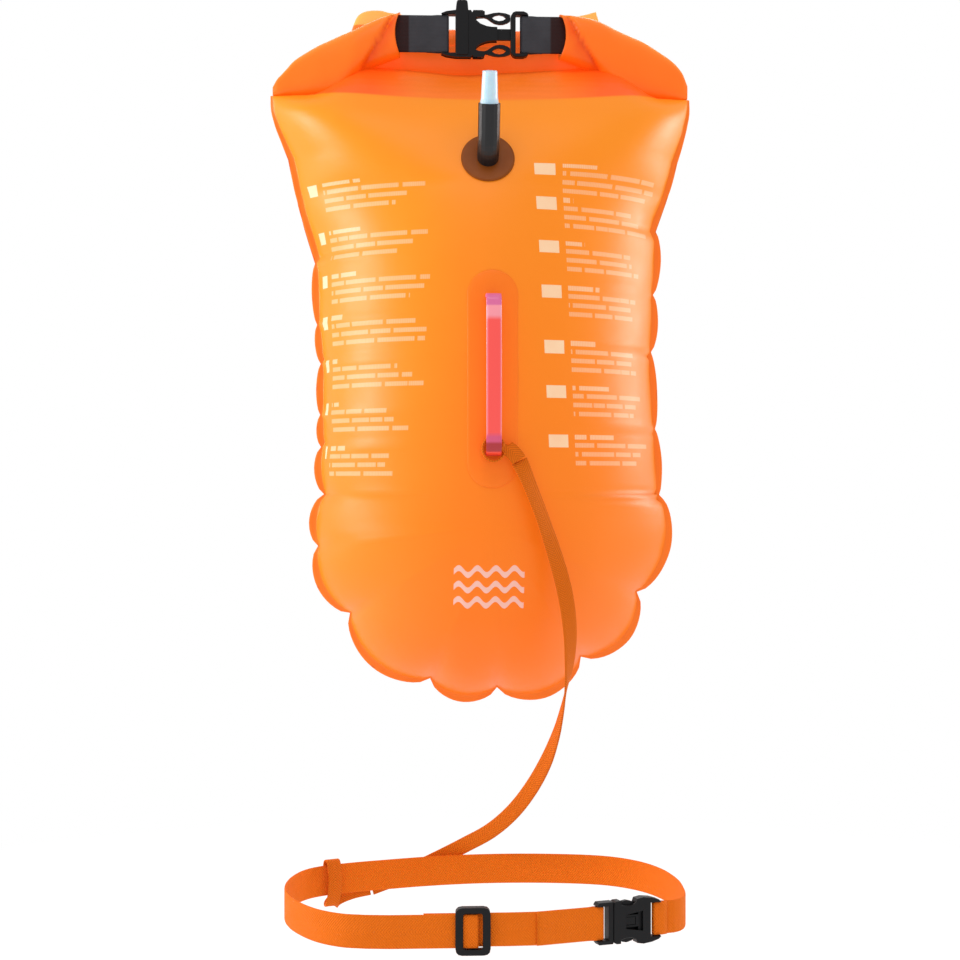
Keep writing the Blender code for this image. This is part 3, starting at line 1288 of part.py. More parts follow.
def build_belt_plug(plastic):
    """Belt buckle half with the strap bar, the guide blade and slots for the arms' roots."""
    half_height = BELT_SOCKET_HALF_HEIGHT
    length = BELT_PLUG_LENGTH
    centre = (BELT_MOUTH_X, BELT_FRONT_Y, BELT_Z)
    outline = mirrored([(-length, half_height * 0.8), (-length * 0.9, half_height * 0.9),
                        (-GAP, half_height * 0.9)])
    slot_z = BELT_WIDTH / 2 + GAP
    slot_left = -length + BELT_BAR_WIDTH
    slot = rectangle(slot_left, slot_left + BELT_PLUG_SLOT_REACH, -slot_z, slot_z)
    plug = plate("belt_plug", [outline, slot], 2 * BELT_SOCKET_HALF_DEPTH, "XZ", centre, plastic,
                 BUCKLE_EDGE)
    half = BELT_BAR_THICKNESS / 2
    for way, word in ((-1, "front"), (1, "back")):
        near = BELT_FRONT_Y + way * half
        far = BELT_FRONT_Y + way * (BELT_SOCKET_HALF_DEPTH + OVERRUN)
        low = (BELT_MOUTH_X - length - OVERRUN, min(near, far), BELT_Z - slot_z)
        high = (BELT_MOUTH_X + slot_left + WELD, max(near, far), BELT_Z + slot_z)
        combine(plug, box(f"plug_end_bar_{word}", low, high))
    pocket = BELT_ARM_HALF_DEPTH + GAP
    root = -BELT_ARM_ROOT
    for way, word in ((1, "upper"), (-1, "lower")):
        ends = sorted((way * BELT_ROOT_FLOOR_SHARE * half_height, way * BELT_ROOT_TOP_SHARE * half_height))
        low = (BELT_MOUTH_X + root - GAP, BELT_FRONT_Y - pocket, BELT_Z + ends[0])
        high = (BELT_MOUTH_X + OVERRUN, BELT_FRONT_Y + pocket, BELT_Z + ends[1])
        combine(plug, box(f"belt_root_{word}", low, high))
    low = (BELT_MOUTH_X + root, BELT_FRONT_Y - BELT_ARM_HALF_DEPTH, BELT_Z - BELT_BLADE_HALF_HEIGHT)
    high = (BELT_MOUTH_X + BELT_BLADE_LENGTH, BELT_FRONT_Y + BELT_ARM_HALF_DEPTH,
            BELT_Z + BELT_BLADE_HALF_HEIGHT)
    combine(plug, box("belt_blade", low, high), "UNION")
    shares = scaled(BELT_ARM_SHARES, BELT_SOCKET_LENGTH, half_height)
    pivot_z = BELT_PIVOT_SHARE * half_height
    for name, way in (("belt_arm_upper", 1), ("belt_arm_lower", -1)):
        loop = [(x - root, way * (z - pivot_z)) for x, z in shares]
        plate(name, [loop], 2 * BELT_ARM_HALF_DEPTH, "XZ",
              (BELT_MOUTH_X + root, BELT_FRONT_Y, BELT_Z + way * pivot_z), plastic)


BELT_STUB = 0.0070
BELT_TRAVEL = 0.0280
BELT_TAIL_END = -0.0450
SLIDER_HALF_DEPTH = 0.0034
BELT_BLADE_HALF_HEIGHT = 0.0022
BELT_BLADE_LENGTH = 0.0150
BELT_WINDOW_FLOOR = 0.0002
BELT_ARM_ROOT = 0.0028
BELT_PIVOT_SHARE = 0.560
BELT_ROOT_FLOOR_SHARE = 0.42
BELT_ROOT_TOP_SHARE = 0.72
BELT_POCKET_SHARES = ((-0.1, 0.155, 0.36, 0.705), (0.150, 0.470, 0.26, 1.2), (0.465, 0.530, 0.26, 0.69))
BELT_LOOP_ANGLE = math.radians(27)
BELT_LOOP_CENTRE = (-0.1030, -0.0193, -0.5663)
# Right of the centre along the belt, behind it, above it, and the turn of the width.
BELT_LOOP_ROWS = (
    (0.0293, 0.0006, 0.0000, 0), (0.0190, 0.0062, -0.0020, 15), (0.0085, 0.0078, -0.0065, 45),
    (0.0020, 0.0045, -0.0140, 85), (0.0000, -0.0020, -0.0150, 90), (0.0000, -0.0056, -0.0070, 90),
    (0.0000, -0.0060, 0.0040, 90), (0.0000, -0.0040, 0.0125, 90), (0.0000, 0.0002, 0.0130, 90),
    (0.0000, 0.0019, 0.0085, 90), (0.0000, 0.0019, 0.0010, 90),
)
TOP_LOOP_ROWS = (
    ((0.0175, -0.0957, -0.2880), (0.56, 0.0, 0.83)), ((0.0125, -0.0956, -0.2850), (0.50, 0.45, 0.74)),
    ((0.0080, -0.0954, -0.2818), (0.2, 0.95, 0.2)), ((0.0056, -0.0953, -0.2775), (0, 1, 0)),
    ((0.0020, -0.0953, -0.2748), (0, 1, 0)), ((-0.0025, -0.0953, -0.2745), (0, 1, 0)),
    ((-0.0062, -0.0953, -0.2772), (0, 1, 0)), ((-0.0076, -0.0953, -0.2815), (0, 1, 0)),
    ((-0.0062, -0.0953, -0.2858), (0, 1, 0)), ((-0.0010, -0.0953, -0.2880), (0, 1, 0)),
    ((0.0042, -0.0953, -0.2875), (0, 1, 0)), ((0.0068, -0.0953, -0.2852), (0, 1, 0)),
)


def main():
    build_bag()
    hull = bag_hull()
    build_roll(hull)
    build_ears(hull)
    build_closure_straps()
    plastic = material("buckle_black", BLACK, 0.45)
    build_closure_socket(plastic)
    build_closure_plug(plastic)
    build_closure_arms(plastic)
    build_valve()
    build_handle()
    build_leash()
    build_belt()
    build_slider(plastic)
    on_belt(build_belt_socket, plastic)
    on_belt(build_belt_plug, plastic)


main()
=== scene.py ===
import math

import bmesh
import bpy
from mathutils import Matrix, Vector


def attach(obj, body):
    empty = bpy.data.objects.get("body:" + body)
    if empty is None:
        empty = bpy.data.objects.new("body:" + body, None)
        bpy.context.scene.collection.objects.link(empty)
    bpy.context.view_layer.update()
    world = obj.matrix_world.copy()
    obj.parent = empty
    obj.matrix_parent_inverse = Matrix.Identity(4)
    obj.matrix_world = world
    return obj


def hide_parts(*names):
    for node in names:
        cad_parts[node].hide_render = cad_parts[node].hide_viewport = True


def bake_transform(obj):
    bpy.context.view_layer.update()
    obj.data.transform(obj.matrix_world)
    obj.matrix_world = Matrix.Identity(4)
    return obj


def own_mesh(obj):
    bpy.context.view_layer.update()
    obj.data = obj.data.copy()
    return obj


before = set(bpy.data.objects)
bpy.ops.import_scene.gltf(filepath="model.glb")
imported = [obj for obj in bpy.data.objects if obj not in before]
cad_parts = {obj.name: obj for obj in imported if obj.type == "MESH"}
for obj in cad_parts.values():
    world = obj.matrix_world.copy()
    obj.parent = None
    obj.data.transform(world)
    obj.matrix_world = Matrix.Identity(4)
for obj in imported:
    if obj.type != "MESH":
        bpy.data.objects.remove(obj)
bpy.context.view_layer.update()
scene = bpy.context.scene
scene.view_settings.view_transform = "Standard"

# Camera
# It stands level in front of the hanging buoy, a little to its left.
FOCAL_LENGTH_MM = 72.1
SENSOR_WIDTH_MM = 36
CAMERA_PLACE = (-0.0710, -1.2981, -0.3010)
CAMERA_AZIMUTH = -3
lens_data = bpy.data.cameras.new("camera")
lens_data.lens = FOCAL_LENGTH_MM
lens_data.sensor_width = SENSOR_WIDTH_MM
lens_data.clip_start = 0.05
camera = bpy.data.objects.new("camera", lens_data)
camera.location = CAMERA_PLACE
camera.rotation_euler = (math.radians(90), 0, math.radians(CAMERA_AZIMUTH))
scene.collection.objects.link(camera)
scene.camera = camera

# Leash
# Flat polyester webbing, 10.5 mm wide. It hangs from its sewn end at the handle, turns edge
# on below the bag, and runs behind the waist belt to the loop that is sewn round it.
LEASH_WIDTH = 0.0105
LEASH_THICKNESS = 0.0012
LEASH_COLOUR = (0.90, 0.180, 0.002)
LEASH_SHADE = (0.55, 0.098, 0.001)
# The middle of the webbing, and how far it has turned from facing forward, in degrees.
LEASH_POINTS = (
    (0.0168, -0.0939, -0.2890, 0), (0.0222, -0.0945, -0.3010, 30), (0.0312, -0.0938, -0.3240, 36),
    (0.0394, -0.0915, -0.3480, 24), (0.0461, -0.0880, -0.3720, 17), (0.0498, -0.0835, -0.3960, 30),
    (0.0502, -0.0770, -0.4180, 52), (0.0487, -0.0690, -0.4360, 80), (0.0468, -0.0590, -0.4520, 96),
    (0.0440, -0.0480, -0.4680, 112), (0.0385, -0.0350, -0.4870, 134), (0.0300, -0.0220, -0.5060, 150),
    (0.0190, -0.0070, -0.5240, 162), (0.0050, 0.0060, -0.5390, 170), (-0.0120, 0.0142, -0.5500, 174),
    (-0.0330, 0.0126, -0.5600, 178), (-0.0560, 0.0060, -0.5692, 180), (-0.0759, -0.0042, -0.5746, 180),
)


class Wire:
    """An output socket of a material that takes part in sums as a number does."""

    def __init__(self, tree, socket=None):
        self.tree = tree
        self.socket = socket

    def add(self, kind, settings, inputs, out=0):
        """A new node with these settings and inputs; stops are a ramp's places and greys."""
        node = self.tree.nodes.new(kind)
        for name, value in settings.items():
            if name == "stops":
                node.color_ramp.interpolation = "CONSTANT"
                ramp = node.color_ramp.elements
                while len(ramp) < len(value):
                    ramp.new(1)
                for stop, (place, shade) in zip(ramp, value):
                    stop.position = place
                    stop.color = (shade, shade, shade, 1)
            else:
                setattr(node, name, value)
        for name, value in inputs.items():
            if isinstance(value, Wire):
                self.tree.links.new(value.socket, node.inputs[name])
            else:
                node.inputs[name].default_value = value
        return Wire(self.tree, node.outputs[out])

    def maths(self, operation, *terms):
        return self.add("ShaderNodeMath", {"operation": operation}, dict(enumerate((self, *terms))))

    def __add__(self, other):
        return self.maths("ADD", other)

    def __sub__(self, other):
        return self.maths("SUBTRACT", other)

    def __rsub__(self, other):
        return self.maths("MULTIPLY", -1.0) + other

    def __mul__(self, other):
        return self.maths("MULTIPLY", other)

    def __truediv__(self, other):
        return self.maths("DIVIDE", other)

    def __gt__(self, other):
        return self.maths("GREATER_THAN", other)

    def __lt__(self, other):
        return self.maths("LESS_THAN", other)

    def __abs__(self):
        return self.maths("ABSOLUTE")

    def sine(self):
        return self.maths("SINE")

    def clamp(self):
        """The same value, kept between 0 and 1."""
        return self.maths("MAXIMUM", 0.0).maths("MINIMUM", 1.0)

    def rise(self, start, width):
        """0 up to start, then up to 1 over a width."""
        return ((self - start) / width).clamp()

    def blend(self, low, high):
        """The colour low where this is 0 and high where it is 1."""
        return self.add("ShaderNodeMix", {"data_type": "RGBA"}, {0: self, 6: low, 7: high}, 2)

    def noise(self, scale, detail=2.0):
        return self.add("ShaderNodeTexNoise", {}, {"Vector": self, "Scale": scale, "Detail": detail})

    def split(self):
        node = self.add("ShaderNodeSeparateXYZ", {}, {0: self})
        outputs = node.socket.node.outputs
        return [Wire(self.tree, socket) for socket in outputs]

    def bump(self, strength, distance):
        return self.add("ShaderNodeBump", {}, {"Height": self, "Strength": strength, "Distance": distance})

    def uv(self):
        """The UV coordinates that go with these object coordinates."""
        return Wire(self.tree, self.socket.node.outputs["UV"])

    def attribute(self, name):
        """The three numbers that the points of a mesh keep under this name."""
        return self.add("ShaderNodeAttribute", {"attribute_name": name}, {}, 1).split()


def new_finish(name, colour, roughness, **settings):
    """A Principled material, its shader, and the wire of its object coordinates."""
    made = bpy.data.materials.new(name)
    made.use_nodes = True
    tree = made.node_tree
    shader = tree.nodes["Principled BSDF"]
    shader.inputs["Base Color"].default_value = (*colour, 1)
    shader.inputs["Roughness"].default_value = roughness
    for word, value in settings.items():
        shader.inputs[word.replace("_", " ").title().replace("Ior", "IOR")].default_value = value
    return made, shader, Wire(tree).add("ShaderNodeTexCoord", {}, {}, "Object")


def feed(shader, **wires):
    for word, wire in wires.items():
        shader.id_data.links.new(wire.socket, shader.inputs[word.replace("_", " ").title()])


def webbing_finish(name, colour, dark, width):
    """Woven webbing: ribs that meet in chevrons down the middle, with a plain edge."""
    rib = 0.0017
    made, shader, spot = new_finish(name, colour, 0.80, specular_ior_level=0.2)
    along, across, _ = spot.uv().split()
    side = abs(across / width)
    slant = along / rib + side * (width / rib * 0.9)
    ridge = slant.maths("PINGPONG", 0.5) * 2
    picks = (along / rib * (math.pi * 4)).sine()
    edge = ((side - 0.43) * 16).clamp()
    grain = spot.noise(900.0, 3.0)
    height = ridge * (1 - edge) + picks * 0.15 + grain * 0.3
    lit = (ridge * 0.75 + grain * 0.3 + spot.noise(38.0, 2.0) * 0.15 - edge * 0.25).clamp()
    feed(shader, base_color=lit.blend((*dark, 1), (*colour, 1)), normal=height.bump(0.7, 0.0005))
    return made


def smooth_route(points, steps):
    """A Catmull-Rom curve through rows of numbers."""
    rows = [Vector(point) for point in points]
    route = []
    for index in range(len(rows) - 1):
        b = rows[index]
        c = rows[index + 1]
        a = rows[index - 1] if index else b * 2 - c
        d = rows[index + 2] if index + 2 < len(rows) else c * 2 - b
        for step in range(steps):
            t = step / steps
            route.append((b * 2 + (c - a) * t + (a * 2 - b * 5 + c * 4 - d) * t**2
                          + (b * 3 - a - c * 3 + d) * t**3) / 2)
    return route + [rows[-1]]


def strap_route(rows, steps):
    """A smooth route of (point, the way its width lies), through rows of six numbers."""
    return [(Vector(row[:3]), Vector(row[3:])) for row in smooth_route(rows, steps)]


def run_at(points, index):
    """The way a line of points runs at one of them."""
    return points[min(index + 1, len(points) - 1)] - points[max(index - 1, 0)]


def new_piece(name, shape, finish, *stands_for, body="bag"):
    """A mesh object from a bmesh, smooth, on its body, in place of the nodes named."""
    bmesh.ops.recalc_face_normals(shape, faces=shape.faces)
    mesh = bpy.data.meshes.new(name)
    shape.to_mesh(mesh)
    shape.free()
    mesh.materials.append(finish)
    mesh.shade_smooth()
    piece = bpy.data.objects.new(name, mesh)
    scene.collection.objects.link(piece)
    if body:
        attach(piece, body)
    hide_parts(*stands_for)
    return piece


# Half round edges: shares of the width and of the thickness, over the front of the strap.
STRAP_FRONT = ((-0.500, 0), (-0.488, 0.36), (-0.455, 0.50), (-0.25, 0.50), (0, 0.50), (0.25, 0.50),
               (0.455, 0.50), (0.488, 0.36))
STRAP_SECTION = STRAP_FRONT + tuple((-u, -v) for u, v in STRAP_FRONT)


def strap_mesh(rows, width, thickness):
    """Webbing along rows of (point, the way its width lies); its UV is metres along and across."""
    shape = bmesh.new()
    flat = shape.loops.layers.uv.new("weave")
    rings = []
    run = 0
    points = [row[0] for row in rows]
    for index, (point, across) in enumerate(rows):
        ahead = run_at(points, index)
        across = (across - ahead.normalized() * across.dot(ahead.normalized())).normalized()
        out = ahead.cross(across).normalized()
        if index:
            run += (point - points[index - 1]).length
        ring = [shape.verts.new(point + across * u * width + out * v * thickness) for u, v in STRAP_SECTION]
        rings.append((ring, run))
    count = len(STRAP_SECTION)
    for (near, start), (far, end) in zip(rings, rings[1:]):
        for i in range(count):
            j = (i + 1) % count
            face = shape.faces.new((near[i], near[j], far[j], far[i]))
            spots = ((start, i), (start, j), (end, j), (end, i))
            for loop, (u, k) in zip(face.loops, spots):
                loop[flat].uv = (u, STRAP_SECTION[k][0] * width)
    shape.faces.new(rings[0][0])
    shape.faces.new(rings[-1][0])
    return shape


leash_rows = []
leash_spots = [Vector(row[:3]) for row in LEASH_POINTS]
for index, row in enumerate(LEASH_POINTS):
    run = run_at(leash_spots, index)
    across = run.cross(Vector((0, 1, 0))).normalized()
    out = across.cross(run).normalized()
    turn = math.radians(row[3])
    leash_rows.append((*leash_spots[index], *(across * math.cos(turn) + out * math.sin(turn))))
leash_rows = strap_route(leash_rows, 10)
leash_webbing = webbing_finish("leash_webbing", LEASH_COLOUR, LEASH_SHADE, LEASH_WIDTH)
leash = new_piece("leash_webbing_run", strap_mesh(leash_rows, LEASH_WIDTH, LEASH_THICKNESS),
                  leash_webbing, "leash")
leash_length = sum((b[0] - a[0]).length for a, b in zip(leash_rows, leash_rows[1:]))

# Sewn ends of the leash
# Each end is the same webbing, a little narrower where it is folded, turned back on itself and
# sewn: one round the lower foot of the handle, the other round the waist belt.
LOOP_WIDTH = 0.0098
LOOP_THICKNESS = 0.0011
# The top end: the middle of the webbing, then the way its width lies.
TOP_LOOP_ROWS = (
    (0.0165, -0.0962, -0.2885, 0.957, 0, 0.29), (0.0146, -0.0964, -0.2858, 0.90, 0, 0.44),
    (0.0118, -0.0964, -0.2828, 0.70, 0.1, 0.70), (0.0092, -0.0962, -0.2807, 0.35, 0.3, 0.90),
    (0.0078, -0.0957, -0.2792, 0.1, 0.95, 0.3), (0.0057, -0.0953, -0.2759, 0, 1, 0),
    (0.0006, -0.0953, -0.2736, 0, 1, 0), (-0.0045, -0.0953, -0.2759, 0, 1, 0),
    (-0.0066, -0.0953, -0.2815, 0, 1, 0), (-0.0045, -0.0953, -0.2871, 0, 1, 0),
    (0.0006, -0.0953, -0.2894, 0, 1, 0), (0.0054, -0.0953, -0.2872, 0, 1, 0),
    (0.0076, -0.0949, -0.2840, 0, 1, 0),
)
# The belt end, from where the leash comes in: right along the belt, behind it, up, and the
# turn of its width in degrees.
BELT_LOOP_PLACE = (-0.1030, -0.0193, -0.5663)
BELT_LOOP_ANGLE = 27
BELT_LOOP_ROWS = (
    (0.0293, 0.0012, -0.0085, 0), (0.0190, 0.0056, -0.0108, 10), (0.0085, 0.0064, -0.0138, 38),
    (0.0020, 0.0036, -0.0166, 80), (0, -0.0020, -0.0158, 90), (0, -0.0056, -0.0070, 90),
    (0, -0.0060, 0.0040, 90), (0, -0.0040, 0.0125, 90), (0, 0.0002, 0.0130, 90),
    (0, 0.0019, 0.0085, 90), (0, 0.0019, 0.0010, 90),
)
top_loop = new_piece("leash_top_end", strap_mesh(strap_route(TOP_LOOP_ROWS, 6), LOOP_WIDTH, LOOP_THICKNESS),
                     leash_webbing, "leash_top_loop")
loop_turn = math.radians(BELT_LOOP_ANGLE)
loop_along = Vector((math.cos(loop_turn), math.sin(loop_turn), 0))
loop_back = Vector((-loop_along.y, loop_along.x, 0))
belt_rows = []
for right, behind, height, turn in BELT_LOOP_ROWS:
    spot = Vector(BELT_LOOP_PLACE) + loop_along * right + loop_back * behind
    spot.z += height
    angle = math.radians(turn)
    belt_rows.append((*spot, *(Vector((0, 0, 1)) * math.cos(angle) - loop_along * math.sin(angle))))
belt_loop = new_piece("leash_belt_end", strap_mesh(strap_route(belt_rows, 6), LOOP_WIDTH, LOOP_THICKNESS),
                      leash_webbing, "leash_belt_loop")

# Waist belt
# 20 mm webbing in two runs: a main run from the slider round the swimmer's back to the
# buckle's socket, and a short tail from the plug back through the slider.
BELT_WIDTH = 0.0200
BELT_THICKNESS = 0.0010
BELT_Z = -0.5663
BELT_FRONT_Y = -0.1680
BELT_GAP = 0.0003
SLIDER_X = -0.0160
BELT_MOUTH_X = 0.0712
BELT_SOCKET_LENGTH = 0.0320
BELT_PLUG_REACH = 0.0105
BUCKLE_BAR = 0.0032
SLIDER_BAR = 0.0030
BAR_THICKNESS = 0.0014
BELT_TURN = 18
BELT_TURN_X = 0.0120
# Along X: where the belt is sewn to itself beside the slider, and where its bend begins. Then
# how far past its bar the socket's fold is sewn, and the tail's seam and its last two points.
BELT_SEWN_X = -0.0404
BELT_BEND_START_X = -0.0650
SOCKET_SEAM = 0.0070
TAIL_SEAM_X = 0.0224
TAIL_ENDS_X = (0.0048, -0.0450)
STRAP_STEP = 0.004
FOLD_STEPS = 12
BELT_BEND_POINTS = (
    (-0.0790, -0.1672), (-0.0930, -0.1628), (-0.1065, -0.1515), (-0.1175, -0.1340),
    (-0.1260, -0.1120), (-0.1300, -0.0870), (-0.1280, -0.0600), (-0.1210, -0.0370),
    (-0.1095, -0.0230), (-0.0900, -0.0125), (-0.0705, -0.0050), (-0.0368, 0.0060), (0.0014, 0.0125),
    (0.0421, 0.0115), (0.0790, 0.0030), (0.1010, -0.0150), (0.1140, -0.0420), (0.1195, -0.0750),
    (0.1190, -0.1050), (0.1170, -0.1210), (0.1132, -0.1310), (0.1082, -0.1361),
)
belt_pivot = Matrix.Translation((BELT_TURN_X, BELT_FRONT_Y, 0))
belt_turn = belt_pivot @ Matrix.Rotation(math.radians(BELT_TURN), 4, "Z") @ belt_pivot.inverted()


def fold_path(bar_x, bar_y, way, bar_width, bar_thickness, thickness, start, end):
    """A strip that comes from start, wraps the far side of a bar and goes back to end."""
    reach = bar_thickness / 2 + BELT_GAP + thickness / 2
    together = (thickness + BELT_GAP) / 2
    centre = bar_x + way * bar_width / 2
    near = bar_x - way * (bar_width / 2 + reach)
    joined = near - way * reach * 2
    path = [(start, bar_y - together), (joined, bar_y - together), (near, bar_y - reach)]
    for step in range(FOLD_STEPS + 1):
        turn = math.pi * step / FOLD_STEPS
        path.append((centre + way * reach * math.sin(turn), bar_y - reach * math.cos(turn)))
    return path + [(near, bar_y + reach), (joined, bar_y + together), (end, bar_y + together)]


def level_rows(path, z):
    """Rows of a strap whose width stands upright, with its long runs cut shorter."""
    rows = []
    for (x0, y0), (x1, y1) in zip(path, path[1:]):
        pieces = max(1, round(math.dist((x0, y0), (x1, y1)) / STRAP_STEP))
        rows += [Vector((x0 + (x1 - x0) * k / pieces, y0 + (y1 - y0) * k / pieces, z))
                 for k in range(pieces)]
    rows.append(Vector((*path[-1], z)))
    return [(point, Vector((0, 0, 1))) for point in rows]


def along_belt(path):
    """The same path on the part of the belt that is turned toward the buckle."""
    return [tuple((belt_turn @ Vector((x, y, 0))).xy) for x, y in path]


belt_webbing = webbing_finish("belt_webbing", (0.98, 0.200, 0.004), (0.74, 0.125, 0.002), BELT_WIDTH)
socket_bar = BELT_MOUTH_X + BELT_SOCKET_LENGTH - BUCKLE_BAR / 2
socket_seam = socket_bar + SOCKET_SEAM
socket_fold = fold_path(socket_bar, BELT_FRONT_Y, -1, BUCKLE_BAR, BAR_THICKNESS, BELT_THICKNESS,
                        socket_seam, socket_seam)
slider_fold = fold_path(SLIDER_X, BELT_FRONT_Y, 1, SLIDER_BAR, BAR_THICKNESS, BELT_THICKNESS,
                        BELT_BEND_START_X, BELT_SEWN_X)
bend = [tuple(point) for point in smooth_route(BELT_BEND_POINTS, 5)]
main_path = slider_fold[::-1] + bend + along_belt(socket_fold[1:][::-1])
new_piece("belt_main_run", strap_mesh(level_rows(main_path, BELT_Z), BELT_WIDTH, BELT_THICKNESS),
          belt_webbing, "belt_webbing")
plug_bar = BELT_MOUTH_X - BELT_PLUG_REACH + BUCKLE_BAR / 2
behind = BELT_FRONT_Y + BAR_THICKNESS / 2 + BELT_GAP * 2 + BELT_THICKNESS * 1.5
tail_path = fold_path(plug_bar, BELT_FRONT_Y, 1, BUCKLE_BAR, BAR_THICKNESS, BELT_THICKNESS,
                      TAIL_SEAM_X, TAIL_SEAM_X)
tail_path = along_belt(tail_path) + [(x, behind) for x in TAIL_ENDS_X]
tail = new_piece("belt_tail_run", strap_mesh(level_rows(tail_path, BELT_Z), BELT_WIDTH, BELT_THICKNESS),
                 belt_webbing, "belt_tail", body=None)
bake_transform(tail)

# Belt hardware
# Injection-moulded black acetal: the ladder slide, and the side-release buckle with its two
# sprung arms. Its moulded shape is the CAD's, with a fine spark-eroded grain.
buckle_black, shader, spot = new_finish("buckle_black", (0.006, 0.006, 0.007), 0.42,
                                        specular_ior_level=0.22)
grain = spot.noise(2600.0, 2.0)
smear = spot.noise(60.0, 3.0)
feed(shader, normal=grain.bump(0.25, 0.0002), roughness=smear * 0.22 + 0.34)


def paint(finish, *nodes):
    """One material on pieces whose shape is the CAD's."""
    for node in nodes:
        materials = bpy.data.objects[node].data.materials
        materials.clear()
        materials.append(finish)


paint(buckle_black, "belt_slider", "belt_socket", "belt_plug", "belt_arm_upper", "belt_arm_lower")

# Air chamber
# Two sheets of coated nylon, welded along a scalloped seam and blown up to about 17 cm thick.
# The skin is drawn in at each notch of the seam, and the weld shows as a flat rim outside it.
HALF_WIDTH = 0.144
HEIGHT = 0.452
LOBE = 0.0062
RIM = 0.0052
SEAM_Y = 0.0013
FRONT_DEPTH = 0.088
BACK_DEPTH = 0.080
FAN_Z = -0.330
SHOULDER_Z = -0.0415
ROOF_Z = -0.0560
ROOF_ROWS = 8
SKIN_STEP = 0.0036
SKIN_COLUMNS = 22
SEAM_STEP = 0.0035
CURVE_STEPS = 16
NECK_SETBACK = 0.0125
NOTCH_PULL = 0.0016
NOTCH_REACH = 0.008
# The seam's notches: shares of the half width and of the height, and how far the lobe after
# each one swells out, as a share of LOBE.
LEFT_SEAM = (
    (-1.000, 0.095, 0.05), (-0.988, 0.130, 0.05), (-0.918, 0.190, 0.05), (-0.876, 0.251, 0.10),
    (-0.793, 0.344, 0.48), (-0.783, 0.435, 0.45), (-0.766, 0.493, 0.48), (-0.769, 0.569, 0.48),
    (-0.765, 0.617, 0.92), (-0.751, 0.687, 1.29), (-0.779, 0.764, 2.00),
)
BOTTOM_SEAM = (
    (-0.630, 0.864, 3.05), (-0.255, 0.962, 2.10), (0.059, 0.976, 2.90), (0.455, 0.931, 2.80),
    (0.720, 0.834, 0),
)
RIGHT_SEAM = (
    (0.969, 0.095, 0.05), (0.962, 0.130, 0.05), (0.912, 0.190, 0.05), (0.868, 0.240, 0.05),
    (0.810, 0.293, 0.71), (0.796, 0.388, 0.68), (0.787, 0.474, 0.47), (0.806, 0.589, 0.53),
    (0.825, 0.688, 2.55), (0.720, 0.834, 0),
)
# Shares of the height and of the full depth there.
DEPTHS = (
    (0.0918, 0.02), (0.0985, 0.22), (0.110, 0.39), (0.125, 0.51), (0.160, 0.64), (0.210, 0.76),
    (0.270, 0.88), (0.350, 0.96), (0.450, 1.00), (0.600, 1.00), (0.730, 0.95),
)
# Across the weld: a share from its inner line to its edge, and its half thickness there.
RIM_ROWS = ((0.10, 0.00125), (0.22, 0.00085), (0.6, 0.00070), (0.94, 0.0005), (1, 0.0002))
THREAD_PITCH = 0.00055
MOUTH_FLAT = 0.081
MOUTH_SLOPE = 0.037
MOUTH_HEIGHT = 0.0185
MOUTH_TILT = 0.012
MOUTH_BOW = 0.0042
MOUTH_SAG = 0.0022
MOUTH_SAG_X = -0.014
MOUTH_SAG_REACH = 0.022
RIM_RIPPLE = 0.0004


def seam_lobes():
    """(notch, next notch, swell) of each lobe, round from the left shoulder to the right one."""
    left = LEFT_SEAM + BOTTOM_SEAM
    around = [(a, b, a[2]) for a, b in zip(left, left[1:])]
    return around + [(b, a, a[2]) for a, b in zip(RIGHT_SEAM, RIGHT_SEAM[1:])][::-1]


def seam_line():
    """Rows of the seam: x, z, the same point with no lobe, where in its lobe, and the swell."""
    lobes = seam_lobes()
    notches = [lobe[0][:2] for lobe in lobes] + [lobes[-1][1][:2]]
    notches = [(x * HALF_WIDTH, -z * HEIGHT) for x, z in notches]
    line = []
    for index, (_, _, swell) in enumerate(lobes):
        a = Vector(notches[index])
        b = Vector(notches[index + 1])
        out = Vector(((b - a).y, -(b - a).x)).normalized()
        near = notches[max(index - 1, 0):index + 3]
        curve = smooth_route(near, CURVE_STEPS)
        skip = CURVE_STEPS if index else 0
        count = max(4, round((b - a).length / SEAM_STEP))
        for step in range(count):
            t = step / count
            place = skip + t * CURVE_STEPS
            low = int(place)
            plain = curve[low].lerp(curve[min(low + 1, len(curve) - 1)], place - low)
            chord = a.lerp(b, t) if swell > 0.3 else plain
            lobed = chord + out * LOBE * swell * math.sin(math.pi * t) ** 0.6
            line.append((*lobed, *plain, t, swell))
    return line + [(*notches[-1], *notches[-1], 0, 0)]


SEAM = seam_line()
SEAM_LOW = min(range(len(SEAM)), key=lambda index: SEAM[index][1])


def seam_at(z, side):
    """The row of the seam at a height, on the left, -1, or the right, 1."""
    half = SEAM[:SEAM_LOW] if side < 0 else SEAM[SEAM_LOW:][::-1]
    for a, b in zip(half, half[1:]):
        if b[1] <= z <= a[1]:
            t = (a[1] - z) / max(a[1] - b[1], 1e-9)
            lobe = b[4] if b[4] or t < 0.5 else 1
            return [a[k] + (b[k] - a[k]) * t for k in range(4)] + [a[4] + (lobe - a[4]) * t, a[5]]
    return list(half[0] if z > half[0][1] else half[-1])


